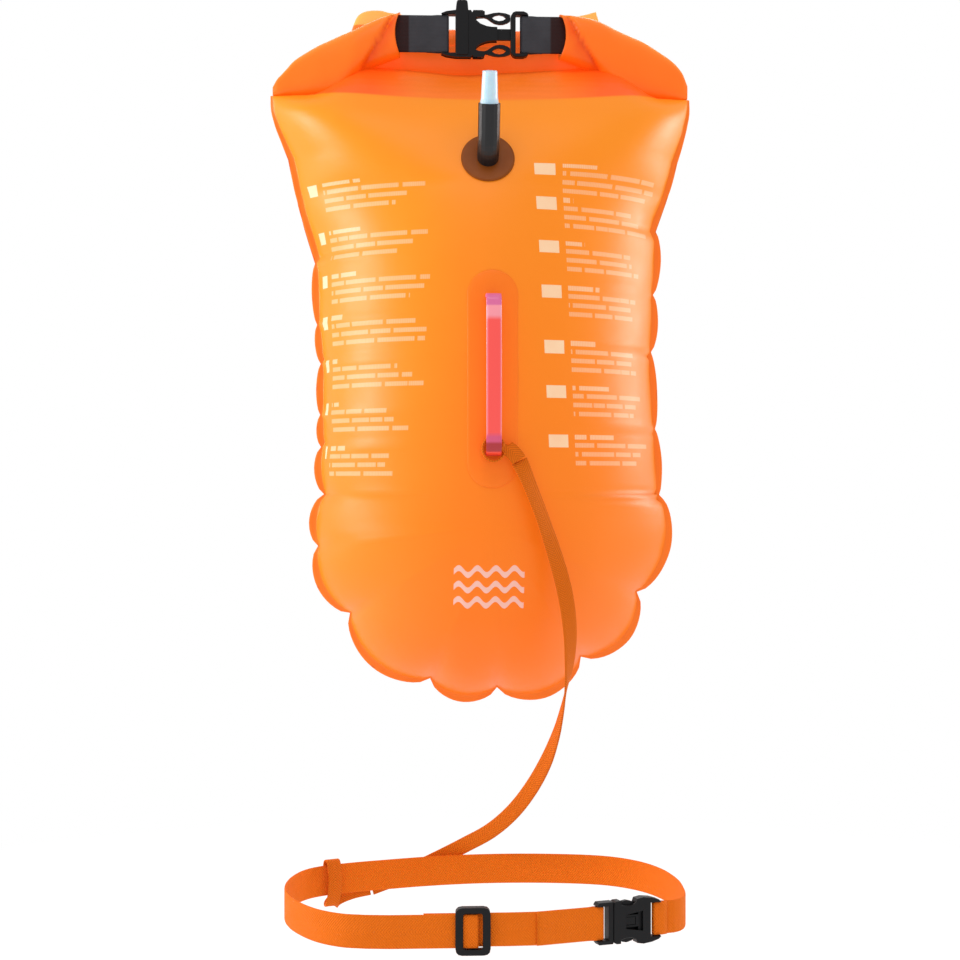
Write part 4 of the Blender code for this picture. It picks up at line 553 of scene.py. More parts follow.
def between(rows, share):
    """The value of a table between its rows, on a smooth curve."""
    if share > rows[-1][0]:
        return rows[-1][1]
    index = next(k for k in range(len(rows) - 1) if share <= rows[k + 1][0])
    a, b = rows[index:index + 2]
    first = rows[max(index - 1, 0)]
    last = rows[min(index + 2, len(rows) - 1)]
    before = (b[1] - first[1]) / (b[0] - first[0])
    after = (last[1] - a[1]) / (last[0] - a[0])
    width = b[0] - a[0]
    t = max((share - a[0]) / width, 0)
    return ((2 * t**3 - 3 * t**2 + 1) * a[1] + (t**3 - 2 * t**2 + t) * width * before
            + (3 * t**2 - 2 * t**3) * b[1] + (t**3 - t**2) * width * after)


def dome(share, depth, reach, z):
    """Height of a circular arc over its chord, fuller at its ends near the shoulders."""
    share = share ** (1 + 2.4 * min(max((z + 0.110) / 0.060, 0), 1))
    depth = max(depth, 0.0001)
    radius = (reach * reach + depth * depth) / (2 * depth)
    return math.sqrt(max(radius * radius - (share * reach) ** 2, 0)) - radius + depth


def skin_y(x, z):
    """How far in front of the seam the front skin stands, away from the seam."""
    side = 1 if x > 0 else -1
    reach = abs(seam_at(z, side)[2]) - RIM
    return -SEAM_Y - dome(abs(x) / reach, FRONT_DEPTH * between(DEPTHS, -z / HEIGHT), reach, z)


def skin_point(x, z):
    """A point on the front skin and the way out of it."""
    step = 0.0005
    slope_x = (skin_y(x + step, z) - skin_y(x - step, z)) / (2 * step)
    slope_z = (skin_y(x, z + step * 4) - skin_y(x, z - step * 4)) / (8 * step)
    return Vector((x, skin_y(x, z), z)), Vector((slope_x, -1, slope_z)).normalized()


def mouth_rise(x):
    """How far the mouth stands above the shoulders, at a distance from the middle."""
    t = min(max((abs(x) - MOUTH_FLAT) / MOUTH_SLOPE, 0), 1)
    bow = MOUTH_BOW * min(abs(x) / MOUTH_FLAT, 1) ** 2
    sag = MOUTH_SAG * math.exp(-((x - MOUTH_SAG_X) / MOUTH_SAG_REACH) ** 2)
    return (MOUTH_HEIGHT + bow - sag + MOUTH_TILT * x) * (1 - t * t * (3 - 2 * t))


SHARES = [math.sin(math.pi / 2 * k / SKIN_COLUMNS) for k in range(SKIN_COLUMNS + 1)]


def skin_ray(shape, start, row, side, depth, depth_share, backset):
    """The skin from the middle of the bag out to the seam, then the rim.

    Each point also keeps how far it is from the middle along the skin, and a share that is
    0 at the weld and 1 at the rim's edge, wide or narrow with the swell of its lobe.
    """
    flat = shape.verts.layers.float_vector["print"]
    lobed = Vector(row[:2])
    plain = Vector(row[2:4])
    t, swell = row[4:6]
    outward = (plain - start).normalized()
    bow = math.sin(math.pi * min(max(t, 0), 1)) ** 0.5
    if swell > 0.3:
        wide = RIM * (0.25 + 0.75 * bow)
    else:
        wide = RIM * (0.30 + 0.55 * min((-lobed.y - 0.040) / 0.045, 1))
    inner = plain - outward * wide
    shift = lobed - plain
    reach = (inner - start).length
    pull = NOTCH_PULL * min(swell, 1.6) ** 0.7
    way = 1 if lobed.x > 0 else -1
    made = []
    run = 0
    before = None
    for share in SHARES:
        spot = start.lerp(inner, share) + shift * share**7
        off = (1 - share) * reach / NOTCH_REACH
        puff = pull * (bow - 0.62) * off * math.exp(1 - off)
        height = (dome(share, depth, reach, start.y) + puff * (1 if share < 1 else 0)) * depth_share
        lift = mouth_rise(spot.x) * backset
        y = side * (SEAM_Y + height) + NECK_SETBACK * backset * (1 - share * share)
        place = Vector((spot.x, y, spot.y + lift))
        run += math.dist(place.xy, before.xy) if before else 0
        before = place
        made.append(shape.verts.new(place))
        made[-1][flat] = (way * run, place.z, 0)
    lift = mouth_rise(lobed.x) * backset
    ripple = RIM_RIPPLE * math.sin(lobed.x * 170 + lobed.y * 230)
    for share, y in RIM_ROWS:
        spot = inner + shift + (lobed - inner - shift) * share
        made.append(shape.verts.new((spot.x, side * y + ripple * share, spot.y + lift)))
        made[-1][flat] = (way * (run + wide * share), spot.y, 0.2 + 0.8 * share)
    return made


def skin_mesh(side, depth_share):
    """One whole skin: rows across it down to FAN_Z, then rays to the lobes round its foot."""
    shape = bmesh.new()
    shape.verts.layers.float_vector.new("print")
    roof = {SHOULDER_Z - (SHOULDER_Z - ROOF_Z) * (k / ROOF_ROWS) ** 2 for k in range(ROOF_ROWS + 1)}
    notches = {-row[1] * HEIGHT for row in LEFT_SEAM + RIGHT_SEAM if 0.13 < row[1] < 0.73}
    stations = sorted(notches | roof | {FAN_Z}, reverse=True)
    levels = []
    for high, low in zip(stations, stations[1:]):
        count = max(1, math.ceil((high - low) / SKIN_STEP))
        levels += [high + (low - high) * k / count for k in range(count)]
    levels.append(FAN_Z)
    before = None
    for z in levels:
        backset = min(max((z - ROOF_Z) / (SHOULDER_Z - ROOF_Z), 0), 1) ** 1.25
        depth = FRONT_DEPTH * between(DEPTHS, -z / HEIGHT)
        start = Vector((0, z))
        left, right = (skin_ray(shape, start, seam_at(z, way), side, depth, depth_share, backset)
                       for way in (-1, 1))
        row = left[::-1] + right[1:]
        bmesh.ops.weld_verts(shape, targetmap={right[0]: left[0]})
        if before:
            for a, b, c, d in zip(before, before[1:], row[1:], row):
                shape.faces.new((a, b, c, d))
        before = row
    centre = Vector((0, FAN_Z))
    depth = FRONT_DEPTH * between(DEPTHS, -FAN_Z / HEIGHT)
    middle = left[0]
    rays = [left]
    for row in SEAM:
        if row[1] < FAN_Z - 0.001:
            ray = skin_ray(shape, centre, row, side, depth, depth_share, 0)
            bmesh.ops.weld_verts(shape, targetmap={ray[0]: middle})
            rays.append([middle] + ray[1:])
    rays.append([middle] + right[1:])
    for a, b in zip(rays, rays[1:]):
        shape.faces.new((middle, a[1], b[1]))
        for k in range(1, len(a) - 1):
            shape.faces.new((a[k], a[k + 1], b[k + 1], b[k]))
    return shape


def film_finish(name, colour, deep, details=None, painted_glow=0.12):
    """Coated nylon: a satin film over a fine plain weave, with a painted glow for the light it lets
    through.
    """
    # Painted light: the film glows faintly in its own colour, for the light that comes through it.
    made, shader, spot = new_finish(name, colour, 0.40, specular_ior_level=0.28,
                                    emission_color=(*colour, 1), emission_strength=painted_glow)
    x, _, z = spot.split()
    threads = 2 * math.pi / THREAD_PITCH
    weave = (x * threads).sine() * (z * threads).sine()
    small = spot.noise(55.0, 3.0)
    tint = (spot.noise(7.0, 3.0) * 0.7 + small * 0.3).blend((*deep, 1), (*colour, 1))
    height = weave * 0.25 + small * 1.2
    if details:
        tint, height = details(tint, height, spot)
    feed(shader, base_color=tint, normal=height.bump(0.12, 0.0005), roughness=small * 0.16 + 0.32)
    return made


def bag_details(tint, height, spot):
    """The darker weld round the edge, the slack roof that ripples below the roll, and painted shade."""
    share = spot.attribute("print")[2]
    # The weld is darker, partly its own deeper colour and partly painted shade, and lighter at its very
    # edge.
    band = (share * 5).clamp() - ((share - 0.9) * 10).clamp() * 0.5
    x, _, z = spot.split()
    # Painted shade: the skin is painted deeper towards the bottom, less so on the left side.
    lower = (z * -1).rise(0.080, 0.34)
    left_side = (x * -1).rise(0.02, 0.07) * 0.35
    tint = (lower - left_side).clamp().blend(tint, (0.93, 0.165, 0.004, 1))
    # Painted shade: the roof below the roll is painted redder, and redder still towards the ears' corners.
    roof = (z - x * x * 0.6).rise(-0.0530, 0.0016)
    corner = abs(x).rise(0.045, 0.03)
    red = corner.blend((0.95, 0.165, 0.014, 1), (0.98, 0.085, 0.006, 1))
    drift = spot.noise(16.0, 2.0)
    ripple = (z * (2 * math.pi / 0.0052) + drift * 16).sine() * roof
    tint = (roof * (drift * 0.4 + 0.75)).clamp().blend(tint, red)
    return band.blend(tint, (0.90, 0.165, 0.010, 1)), height + ripple * 0.9


# Printing: the side it is on, where its tabs and its bars begin and end, counted from the
# middle, and the top of each block.
PRINT_COLUMNS = (
    (-1, 0.130, 0.143, 0.032, 0.1235, (-0.1085, -0.1402, -0.1692, -0.1969, -0.2253, -0.2536, -0.2826)),
    (1, 0.0287, 0.0426, 0.0475, 0.138, (-0.1010, -0.1240, -0.1520, -0.1810, -0.2164, -0.2446, -0.2760)),
)
LINE_PITCH = 0.0057
BLOCK_LEAD = 0.0043
WAVE_TOP = 0.3541
WAVE_PITCH = 0.0100
WAVE_LENGTH = 0.0118
WAVE_HALF_WIDTH = 0.0225


def printed_bars(tint, height, spot):
    """Pale printing: two columns of plain tabs with rows of short bars, and a wave mark."""
    run, z, share = spot.attribute("print")
    x, y, _ = spot.split()
    front = (y < -0.01) * (share < 0.05)
    mask = z < -1
    for side, tab_near, tab_far, bar_near, bar_far, tops in PRINT_COLUMNS:
        u = run * side + (z + 0.11) * 0.05
        stops = [(0, 0)] + [(-(top + BLOCK_LEAD) * 3, -top) for top in tops]
        top = z.add("ShaderNodeValToRGB", {"stops": stops}, {"Fac": z * -3})
        drop = (z * -1 - top + BLOCK_LEAD) / LINE_PITCH
        line = drop.maths("FLOOR")
        block = (drop > 0) * (drop < 4) * (z < tops[0] + BLOCK_LEAD)
        first = line < 0.5
        seed = line * 2.3 + top * 61
        full = (bar_far - bar_near) * 0.80
        length = first * (0.021 - full) + full + (seed * 3.1).sine() * (bar_far - bar_near) * 0.15
        start = (u * -1 + bar_far) if side < 0 else (u - bar_near)
        words = (start * 620 + seed).sine() + (start * 391 + seed * 1.9).sine() > -1.45
        letters = (start / 0.0013).maths("PINGPONG", 0.5) + 0.55
        bars = (start > 0) * (start < length) * words * letters * (first * 0.4 + 0.8)
        bars = bars * (drop.maths("FRACT") < first * 0.10 + 0.50)
        tab = (u > tab_near) * (u < tab_far) * (drop < 1.5)
        mask = mask + (bars * 0.75 + tab * 1.15) * block
    tint, height = bag_details(tint, height, spot)
    worn = spot.noise(55.0, 3.0) * 0.3 + 0.62
    printed = (mask * front * worn).clamp().blend(tint, (0.93, 0.70, 0.46, 1))
    down = (z * -1 - WAVE_TOP) / WAVE_PITCH
    swing = (x * (2 * math.pi / WAVE_LENGTH)).sine() * 0.0022
    level = (down.maths("FRACT") - 0.5) * WAVE_PITCH + swing
    waves = (abs(level) < 0.0019) * (down > 0) * (down < 3)
    waves = waves * (abs(x + 0.0012) < WAVE_HALF_WIDTH) * front
    return (waves * 0.75).blend(printed, (0.83, 0.62, 0.60, 1)), height


BAG_COLOUR = (0.95, 0.275, 0.008)
BAG_SHADE = (0.93, 0.245, 0.005)
bag_front_film = film_finish("bag_front_film", BAG_COLOUR, BAG_SHADE, printed_bars)
bag_back_film = film_finish("bag_back_film", BAG_COLOUR, BAG_SHADE, bag_details)
new_piece("air_chamber_skin", skin_mesh(-1, 1), bag_front_film, "front_panel")
new_piece("dry_compartment_skin", skin_mesh(1, BACK_DEPTH / FRONT_DEPTH), bag_back_film, "back_panel")
paint(film_finish("divider_film", (0.80, 0.17, 0.016), (0.72, 0.13, 0.012)), "divider_panel")

# Rolled mouth
# The open top of the bag, folded down three turns about a flat stiffener. The doubled film
# makes soft, slightly uneven layers, and its ends are folded forward into the ears.
ROLL_LEFT = -0.0795
ROLL_RIGHT = 0.0770
ROLL_Y = 0.0130
ROLL_Z = -0.0066
ROLL_HALF_DEPTH = 0.0100
ROLL_HALF_HEIGHT = 0.0133
ROLL_TURNS = 2.55
ROLL_POINTS = 84
ROLL_STATIONS = 80
LAYER_PITCH = 0.0024
ROLL_FILM = 0.0012
NECK_FILM = 0.0009
FLAP_FILM = 0.0008
FLAP_HALF_DEPTH = 0.0079
NECK_FOOT_Z = -0.0290
# The ends that stand up behind the ears, painted pale as lit from behind: X, and the height of their top.
LEFT_FLAP = ((-0.0905, 0.0020), (-0.0870, 0.0118), (-0.0835, 0.0160), (-0.0780, 0.0180), (-0.0700, 0.0182),
             (-0.0640, 0.0168), (-0.0560, 0.0160))
RIGHT_FLAP = ((0.0560, 0.0150), (0.0640, 0.0160), (0.0700, 0.0172), (0.0765, 0.0190), (0.0772, 0.0185),
              (0.0800, 0.0090))


def join_rings(shape, rings):
    """New points for closed rings, with faces from each ring to the next."""
    made = [[shape.verts.new(spot) for spot in ring] for ring in rings]
    for a, b in zip(made, made[1:]):
        for i in range(len(a)):
            j = (i + 1) % len(a)
            shape.faces.new((a[i], a[j], b[j], b[i]))
    return made


def sheet_rings(shape, rings):
    """A closed tube through rings of points, with its two ends capped as strips."""
    made = join_rings(shape, rings)
    for ring in (made[0], made[-1]):
        for i in range(len(ring) // 2 - 1):
            shape.faces.new((ring[i], ring[i + 1], ring[-2 - i], ring[-1 - i]))


def thick_path(x, path, thickness):
    """Both sides of a sheet that follows a path in Y and Z, round to where they began."""
    left = []
    right = []
    for step, point in enumerate(path):
        run = run_at(path, step)
        normal = Vector((-run.y, run.x)).normalized() * thickness / 2
        left.append((x, *(point + normal)))
        right.append((x, *(point - normal)))
    return left + right[::-1]


def roll_mesh():
    """The spiral of film, the sheet that comes up to it in front, and its two raised ends."""
    shape = bmesh.new()
    spiral = []
    neck = []
    for index in range(ROLL_STATIONS + 1):
        x = ROLL_LEFT + (ROLL_RIGHT - ROLL_LEFT) * index / ROLL_STATIONS
        path = []
        for step in range(ROLL_POINTS + 1):
            turn = ROLL_TURNS * step / ROLL_POINTS
            angle = 2 * math.pi * turn - math.pi / 4
            inset = 0.0006 + LAYER_PITCH * turn
            crush = 0.0005 * math.sin(x * 90 + angle * 2) + 0.0003 * math.sin(x * 260 - angle * 3)
            crush *= max(0, 1 - turn)
            path.append(Vector((ROLL_Y + (ROLL_HALF_DEPTH - inset + crush) * math.cos(angle),
                                ROLL_Z + (ROLL_HALF_HEIGHT - inset + crush) * math.sin(angle))))
        spiral.append(thick_path(x, path, ROLL_FILM))
        sway = 0.0007 * math.sin(x * 75 + 1) + 0.0004 * math.sin(x * 190)
        front = ((ROLL_Y - 0.0104, ROLL_Z - 0.0010), (ROLL_Y - 0.0102, ROLL_Z - 0.0060),
                 (ROLL_Y - 0.0086 + sway, ROLL_Z - 0.0125), (ROLL_Y - 0.0062 + sway, ROLL_Z - 0.0180),
                 (ROLL_Y - 0.0030, NECK_FOOT_Z))
        neck.append(thick_path(x, smooth_route(front, 5), NECK_FILM))
    sheet_rings(shape, spiral)
    sheet_rings(shape, neck)
    for flap in (LEFT_FLAP, RIGHT_FLAP):
        rings = []
        for x, top in smooth_route(flap, 5):
            arc = [math.pi * k / 16 for k in range(1, 16)]
            path = [Vector((ROLL_Y + FLAP_HALF_DEPTH * math.cos(angle),
                            ROLL_Z + (top - ROLL_Z) * math.sin(angle) ** 0.8)) for angle in arc]
            rings.append(thick_path(x, path, FLAP_FILM))
        sheet_rings(shape, rings)
    return shape


def collar_details(tint, height, spot):
    """The raised flaps get painted light, as one layer lets more through than the roll; low down, painted
    shade.
    """
    z = spot.split()[2]
    # Painted light: the flaps above the roll are painted paler, as lit from behind.
    flap = z.rise(0.0068, 0.001)
    # Painted shade: the roll is painted darker red towards its foot, by the fold line.
    low = (z * -1).rise(0.0120, 0.009) * spot.noise(45.0, 2.0)
    slack = (z * 520 + spot.noise(30.0, 2.0) * 14).sine() * 0.6
    return flap.blend(low.blend(tint, (0.80, 0.060, 0.006, 1)), (1.0, 0.43, 0.085, 1)), height + slack


# Painted light: the collar's film glows more strongly, so the roll stays bright in the buckle's shade.
collar_film = film_finish("collar_film", (0.95, 0.160, 0.014), (0.90, 0.115, 0.010), collar_details, 0.38)
new_piece("rolled_mouth", roll_mesh(), collar_film, "collar_roll")
paint(buckle_black, "mouth_stiffener")

# Ears of the collar
# The ends of the rolled mouth, folded forward over the shoulders. The film is gathered to a
# flat cuff, where the closure strap is sewn in.
CUFF_X = 0.0570
CUFF_BOW = 0.0035
CUFF_BOW_REACH = 0.0130
FOLD_DEPTH = 0.0042
RIGHT_EAR_STRETCH = 1.0292
RIGHT_EAR_SHIFT = 0.0087
# Distance from the middle, foot, top on the left, top on the right, front and back.
EAR_SECTIONS = (
    (0.1425, -0.0425, -0.0370, -0.0330, -0.0022, 0.0022),
    (0.1395, -0.0428, -0.0318, -0.0255, -0.0040, 0.0040),
    (0.1365, -0.0430, -0.0286, -0.0212, -0.0050, 0.0052),
    (0.1330, -0.0430, -0.0248, -0.0175, -0.0060, 0.0065),
    (0.1270, -0.0435, -0.0186, -0.0131, -0.0078, 0.0080),
    (0.1130, -0.0445, -0.0102, -0.0047, -0.0125, 0.0110),
    (0.1040, -0.0445, -0.0062, -0.0010, -0.0150, 0.0120),
    (0.0960, -0.0425, -0.0026, 0.0024, -0.0170, 0.0130),
    (0.0875, -0.0320, 0.0006, 0.0062, -0.0190, 0.0130),
    (0.0800, -0.0262, 0.0040, 0.0088, -0.0196, 0.0090),
    (0.0700, -0.0225, 0.0080, 0.0104, -0.0200, 0.0040),
    (CUFF_X, -0.0180, 0.0118, 0.0116, -0.0196, 0.0006),
)
EAR_FOLD = ((0.0620, 0.0090), (0.0700, -0.0060), (0.0830, -0.0262))
EAR_SIDES = 56
# Inside the cuff: how far in each ring stands, and its size.
CUFF_ROWS = ((0.0003, 0.97), (0.0010, 0.88), (0.0030, 0.82), (0.0150, 0.62))
CUFF_MIDDLE = Vector((0, -0.0095, -0.0022))


def fold_share(x, z):
    """How far the film drops behind the fold line of an ear: 1 at the line, then less."""
    depth = 0
    for (x0, z0), (x1, z1) in zip(EAR_FOLD, EAR_FOLD[1:]):
        run = Vector((x1 - x0, z1 - z0))
        t = Vector((x - x0, z - z0)).dot(run) / run.length_squared
        if -0.3 < t < 1.15:
            off = ((z - z0) * run.x - (x - x0) * run.y) / run.length
            near = math.exp(off / 0.0075) if off < 0 else math.exp(-off / 0.0006)
            fade = min(1, max(0, (t + 0.3) * 3)) * min(1, max(0, (1.15 - t) * 5))
            depth = max(depth, near * fade)
    return depth


def ear_mesh(side):
    """One ear, outer corner to cuff; each point keeps its crease and rim shares, for painted shade and
    light.
    """
    shape = bmesh.new()
    folds = shape.verts.layers.float_vector.new("folds")
    rings = []
    shades = []
    for x, low, left_high, right_high, front, back in smooth_route(EAR_SECTIONS, 8):
        high = left_high if side < 0 else right_high
        ring = []
        bow = max(0, 1 - (x - CUFF_X) / CUFF_BOW_REACH) ** 1.5
        for step in range(EAR_SIDES):
            angle = 2 * math.pi * (step + 0.5) / EAR_SIDES
            across = math.copysign(abs(math.cos(angle)) ** 0.7, math.cos(angle))
            up = math.copysign(abs(math.sin(angle)) ** 0.7, math.sin(angle))
            y = (front + back) / 2 + across * (back - front) / 2
            z = (low + high) / 2 + up * (high - low) / 2
            outer = x
            crease = fold_share(x, z) if across < 0 else 0
            shades.append((crease, max(up, 0) ** 6, 0))
            if across < 0:
                outer += CUFF_BOW * (1 - up * up) * bow
                y += FOLD_DEPTH * crease * min(1, -across * 2)
            if side > 0:
                outer = outer * RIGHT_EAR_STRETCH - RIGHT_EAR_SHIFT
            ring.append((outer * side, y, z))
        rings.append(ring)
    cuff = rings[-1]
    for inward, tight in CUFF_ROWS:
        rings.append([(x + inward * side, CUFF_MIDDLE.y + (y - CUFF_MIDDLE.y) * tight,
                       CUFF_MIDDLE.z + (z - CUFF_MIDDLE.z) * tight) for x, y, z in cuff])
    made = join_rings(shape, rings)
    for vert, shade in zip((vert for ring in made for vert in ring), shades):
        vert[folds] = shade
    shape.faces.new(made[0])
    shape.faces.new(made[-1])
    return shape


def ear_details(tint, height, spot):
    """Painted shadow makes the film redder behind the fold, and a painted highlight paler over the top."""
    crease, edge, _ = spot.attribute("folds")
    slack = (spot.noise(38.0, 3.0) * 22).sine()
    # Painted shadow: the film just behind the fold line is painted darker red.
    dark = (crease * 1.15 * (slack * 0.15 + 0.85)).clamp().blend(tint, (0.74, 0.040, 0.002, 1))
    # Painted highlight: the ear's top edge, where the film turns over, is painted paler.
    return (edge * 0.75).blend(dark, (1.0, 0.36, 0.030, 1)), height + slack * 0.8


ear_film = film_finish("ear_film", (0.95, 0.180, 0.006), (0.92, 0.130, 0.004), ear_details, 0.18)
new_piece("left_ear_fold", ear_mesh(-1), ear_film, "left_ear")
new_piece("right_ear_fold", ear_mesh(1), ear_film, "right_ear")

# Closure strap
# Smooth charcoal webbing, 25 mm wide. A short end comes out of each cuff, passes round the
# buckle's bar and is sewn down on itself.
STRAP_WIDTH = 0.0250
STRAP_THICKNESS = 0.0010
CLOSURE_X = -0.0005
CLOSURE_Y = -0.0095
CLOSURE_Z = -0.0022
CLOSURE_HALF = 0.0298
CLOSURE_BAR = 0.0036
CLOSURE_BAR_THICKNESS = 0.0022
CLOSURE_SEAM = 0.0090
closure_webbing, shader, spot = new_finish("closure_webbing", (0.05, 0.05, 0.06), 0.5,
                                           specular_ior_level=0.22)
x, _, z = spot.split()
ribs = (z * (2 * math.pi / 0.0009)).sine()
satin = spot.noise(70.0, 3.0)
# Painted shade: the strap is painted near black where it runs into the cuffs, in their shade.
inside = abs(x + 0.0036).rise(0.0470, 0.0012)
satin_tint = satin.blend((0.018, 0.018, 0.022, 1), (0.058, 0.058, 0.068, 1))
shaded = inside.blend(satin_tint, (0.020, 0.0015, 0.001, 1))
feed(shader, base_color=shaded, normal=(ribs * 0.3 + satin * 0.8).bump(0.3, 0.0005))
for node, side, start, body in (("closure_strap_left", -1, -0.0640, "closure_socket_side"),
                                ("closure_strap_right", 1, 0.0570, "closure_plug_side")):
    bar = CLOSURE_X + side * (CLOSURE_HALF - CLOSURE_BAR / 2)
    path = fold_path(bar, CLOSURE_Y, -side, CLOSURE_BAR, CLOSURE_BAR_THICKNESS, STRAP_THICKNESS, start,
                     CLOSURE_X + side * (CLOSURE_HALF + CLOSURE_SEAM))
    strap = new_piece(f"{node}_run", strap_mesh(level_rows(path, CLOSURE_Z), STRAP_WIDTH, STRAP_THICKNESS),
                      closure_webbing, node, body=None)
    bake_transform(strap)

# Closure buckle
# Black acetal side-release buckle. The left half carries a moulded whistle, and the right
# half's two arms bend in and lock behind its shoulders.
paint(buckle_black, "closure_socket", "closure_plug", "closure_arm_upper", "closure_arm_lower")

# Oral valve
# A smoke-brown vinyl disc is welded to the skin. It holds a black elbow, and the pale blue
# mouthpiece slides in its barrel against a spring.
VALVE_X = -0.0015
VALVE_Z = -0.0950
VALVE_RADIUS = 0.0172
disc_vinyl, shader, spot = new_finish("disc_vinyl", (0.25, 0.06, 0.01), 0.35, specular_ior_level=0.1)
cloud = spot.noise(120.0, 2.0)
feed(shader, base_color=cloud.blend((0.22, 0.050, 0.008, 1), (0.29, 0.078, 0.012, 1)),
     normal=cloud.bump(0.08, 0.0005))


def patch_mesh(outline_of, rings, sides, hole, lift, thickness):
    """A thin patch on the front skin, with a rounded edge, between a hole and its outline."""
    shape = bmesh.new()
    grid = []
    profile = [(hole + (1 - hole) * k / rings, lift + thickness) for k in range(rings + 1)]
    profile[-1] = (1 - 0.012, lift + thickness)
    profile += [(1 - 0.002, lift + thickness * 0.7), (1, lift)]
    for share, height in profile:
        row = []
        for step in range(sides):
            spot, out = skin_point(*outline_of(2 * math.pi * step / sides, share))
            row.append(spot + out * height)
        grid.append(row)
    made = join_rings(shape, grid)
    if not hole:
        bmesh.ops.remove_doubles(shape, verts=made[0], dist=0.00001)
    return shape


def valve_disc(angle, share):
    """A point of the disc's outline, shrunk by share."""
    slope = skin_point(VALVE_X, VALVE_Z)[1]
    up = VALVE_RADIUS * share * math.sin(angle) * -slope.y
    return VALVE_X + VALVE_RADIUS * share * math.cos(angle), VALVE_Z + up


disc = patch_mesh(valve_disc, rings=8, sides=64, hole=0.40, lift=0.0003, thickness=0.0010)
new_piece("valve_disc", disc, disc_vinyl, "valve_base")
tube_black, shader, spot = new_finish("tube_black", (0.010, 0.010, 0.011), 0.30, specular_ior_level=0.35)
feed(shader, normal=spot.noise(700.0, 2.0).bump(0.10, 0.0003), roughness=spot.noise(90.0) * 0.2 + 0.24)
mouth_blue, shader, spot = new_finish("mouthpiece_blue", (0.56, 0.77, 0.90), 0.28, subsurface_weight=0.2)
haze = spot.noise(150.0, 2.0)
feed(shader, base_color=haze.blend((0.50, 0.72, 0.87, 1), (0.66, 0.83, 0.93, 1)),
     normal=haze.bump(0.05, 0.0003))
spring_steel, shader, spot = new_finish("spring_steel", (0.58, 0.58, 0.60), 0.3, metallic=1.0)
feed(shader, roughness=spot.noise(400.0) * 0.2 + 0.2)
paint(tube_black, "valve_tube")
paint(mouth_blue, "valve_mouthpiece", "valve_poppet")
paint(spring_steel, "valve_spring")
spring = bpy.data.objects["valve_spring"]
shape = bmesh.new()
shape.from_mesh(spring.data)
shape.transform(spring.matrix_world)
coil = new_piece("valve_coil", shape, spring_steel, "valve_spring")
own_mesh(coil)

# Grab handle
# A pink translucent strip stands off a long patch of the bag's own film. Both of its feet are
# welded to the patch, and the lower one carries the leash.
HANDLE_X = 0.0004
HANDLE_TOP = -0.1854
HANDLE_BOTTOM = -0.2845
HANDLE_RISE = 0.0118
HANDLE_WIDTH = 0.0096
HANDLE_THICKNESS = 0.0016
HANDLE_LIFT = 0.0015
PATCH_Z = -0.2372
PATCH_HALF_LENGTH = 0.0688
PATCH_HALF_WIDTH = 0.0160
# A foot of the strip: shares of its rise, along the patch and away from it.
HANDLE_FOOT = ((0, 0), (0, 0.55), (0.06, 0.75), (0.20, 0.90), (0.40, 0.98))
patch_film = film_finish("patch_film", (0.94, 0.195, 0.005), (0.92, 0.170, 0.004))


def stadium(angle, share):
    """A point of the patch's outline, long with round ends, shrunk by share."""
    straight = math.copysign(PATCH_HALF_LENGTH - PATCH_HALF_WIDTH, math.sin(angle)) * share
    if abs(math.sin(angle)) < 0.000001:
        straight = 0
    return (HANDLE_X + PATCH_HALF_WIDTH * share * math.cos(angle),
            PATCH_Z + straight + PATCH_HALF_WIDTH * share * math.sin(angle))


patch = patch_mesh(stadium, rings=10, sides=96, hole=0.0, lift=0.0003, thickness=0.0006)
new_piece("handle_base_patch", patch, patch_film, "handle_patch")
# Painted light: the strip glows faintly pink, for the light that comes through it.
handle_pink, shader, spot = new_finish("handle_pink", (0.93, 0.13, 0.13), 0.3,
                                       emission_color=(1, 0.12, 0.10, 1), emission_strength=0.10)
along, across, _ = spot.uv().split()
top_end = along.rise(0.0935, 0.0030)
foot_end = 1 - along.rise(0.0163, 0.0016)
purple = 1 - along.rise(0.0205, 0.0030)
tip = 1 - along.rise(0.0108, 0.0012)
rim = ((abs(across / HANDLE_WIDTH) - 0.36) * 8).clamp()
pale = (rim * 0.6 + top_end * 0.8).clamp()
body_tint = pale.blend((0.92, 0.080, 0.068, 1), (0.90, 0.38, 0.46, 1))
body_tint = along.rise(0.1022, 0.0010).blend(body_tint, (0.66, 0.14, 0.34, 1))
foot_tint = foot_end.blend(purple.blend(body_tint, (0.62, 0.075, 0.190, 1)), (0.34, 0.010, 0.020, 1))
feed(shader, base_color=tip.blend(foot_tint, (0.95, 0.060, 0.020, 1)),
     normal=spot.noise(300.0).bump(0.05, 0.0003))
stations = [(HANDLE_BOTTOM + shift * HANDLE_RISE, rise * HANDLE_RISE) for shift, rise in HANDLE_FOOT]
stations += [(HANDLE_BOTTOM + (HANDLE_TOP - HANDLE_BOTTOM) * share, HANDLE_RISE)
             for share in (0.15, 0.3, 0.5, 0.7, 0.85)]
stations += [(HANDLE_TOP - shift * HANDLE_RISE, rise * HANDLE_RISE) for shift, rise in HANDLE_FOOT[::-1]]
handle_rows = []
for z, rise in stations:
    spot, out = skin_point(HANDLE_X, z)
    handle_rows.append((*(spot + out * (HANDLE_LIFT + rise)), 1, 0, 0))
strip = strap_mesh(strap_route(handle_rows, 5), HANDLE_WIDTH, HANDLE_THICKNESS)
new_piece("handle_pink_strip", strip, handle_pink, "handle_strip")

# Studio
# A plain white sweep and soft boxes: a broad one above and in front, one behind, and a low one
# at each side, which gives the skin its pale glare.
FLOOR_Z = -0.66


def rays(tree, *words):
    """1 where a ray of light is of the kind named, for each kind."""
    path = Wire(tree).add("ShaderNodeLightPath", {}, {})
    return [Wire(tree, path.socket.node.outputs[f"Is {word} Ray"]) for word in words]


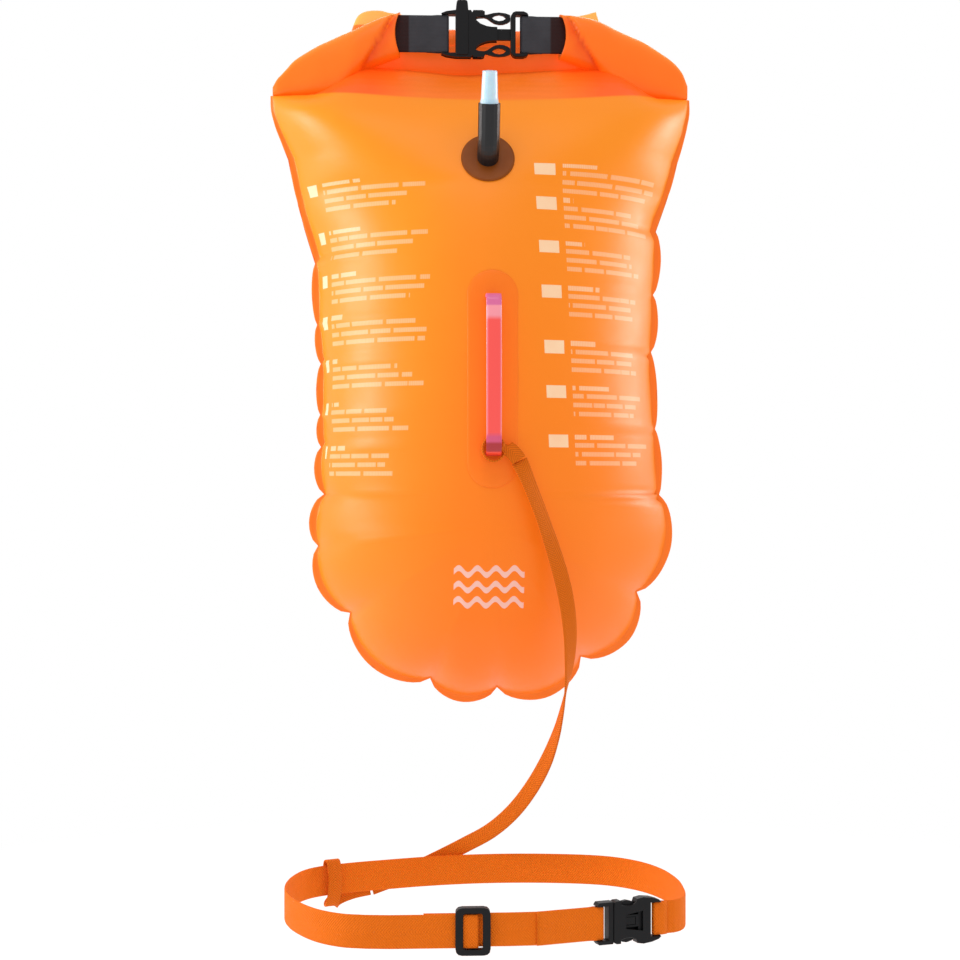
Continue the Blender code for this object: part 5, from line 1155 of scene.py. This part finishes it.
floor = bpy.data.objects.new("floor", bpy.data.meshes.new("floor"))
shape = bmesh.new()
bmesh.ops.create_grid(shape, x_segments=1, y_segments=1, size=6)
shape.to_mesh(floor.data)
shape.free()
floor.location.z = FLOOR_Z
scene.collection.objects.link(floor)
floor_paint, shader, spot = new_finish("floor_paint", (0.93, 0.93, 0.93), 0.9)
x, y, z = spot.split()
far = (x * x + y * y).maths("SQRT").rise(0.25, 0.5)
tree = floor_paint.node_tree
looks, glossy, through = rays(tree, "Camera", "Glossy", "Transmission")
seen = looks.maths("MAXIMUM", glossy).maths("MAXIMUM", through)
white = far.add("ShaderNodeEmission", {}, {"Color": (1, 1, 1, 1), "Strength": 1.0})
mixed = far.add("ShaderNodeMixShader", {}, {0: seen * far, 1: Wire(tree, shader.outputs[0]), 2: white})
tree.links.new(mixed.socket, tree.nodes["Material Output"].inputs["Surface"])
floor.data.materials.append(floor_paint)

world = bpy.data.worlds.new("studio")
scene.world = world
world.use_nodes = True
tree = world.node_tree
ground = tree.nodes["Background"]
ground.inputs["Color"].default_value = (1, 1, 1, 1)
looks, through = rays(tree, "Camera", "Transmission")
seen = looks.maths("MAXIMUM", through)
tree.links.new((seen * 0.28 + 0.72).socket, ground.inputs["Strength"])


def soft_box(name, place, aim, width, height, power):
    lamp = bpy.data.lights.new(name, "AREA")
    lamp.shape = "RECTANGLE"
    lamp.size = width
    lamp.size_y = height
    lamp.energy = power
    box = bpy.data.objects.new(name, lamp)
    box.location = place
    box.rotation_euler = (Vector(aim) - Vector(place)).to_track_quat("-Z", "Y").to_euler()
    scene.collection.objects.link(box)


soft_box("front_box", (-0.2, -1.1, 1.3), (0, 0, -0.25), 1.1, 0.8, 7)
soft_box("left_strip", (-1.15, 0.00, -0.06), (0, 0.00, -0.10), 0.44, 0.26, 7.5)
soft_box("right_strip", (1.15, 0.42, -0.04), (0, 0, -0.10), 0.50, 0.30, 5)
soft_box("back_box", (0.2, 1.6, 0.9), (0, 0, -0.25), 1.2, 0.9, 9)
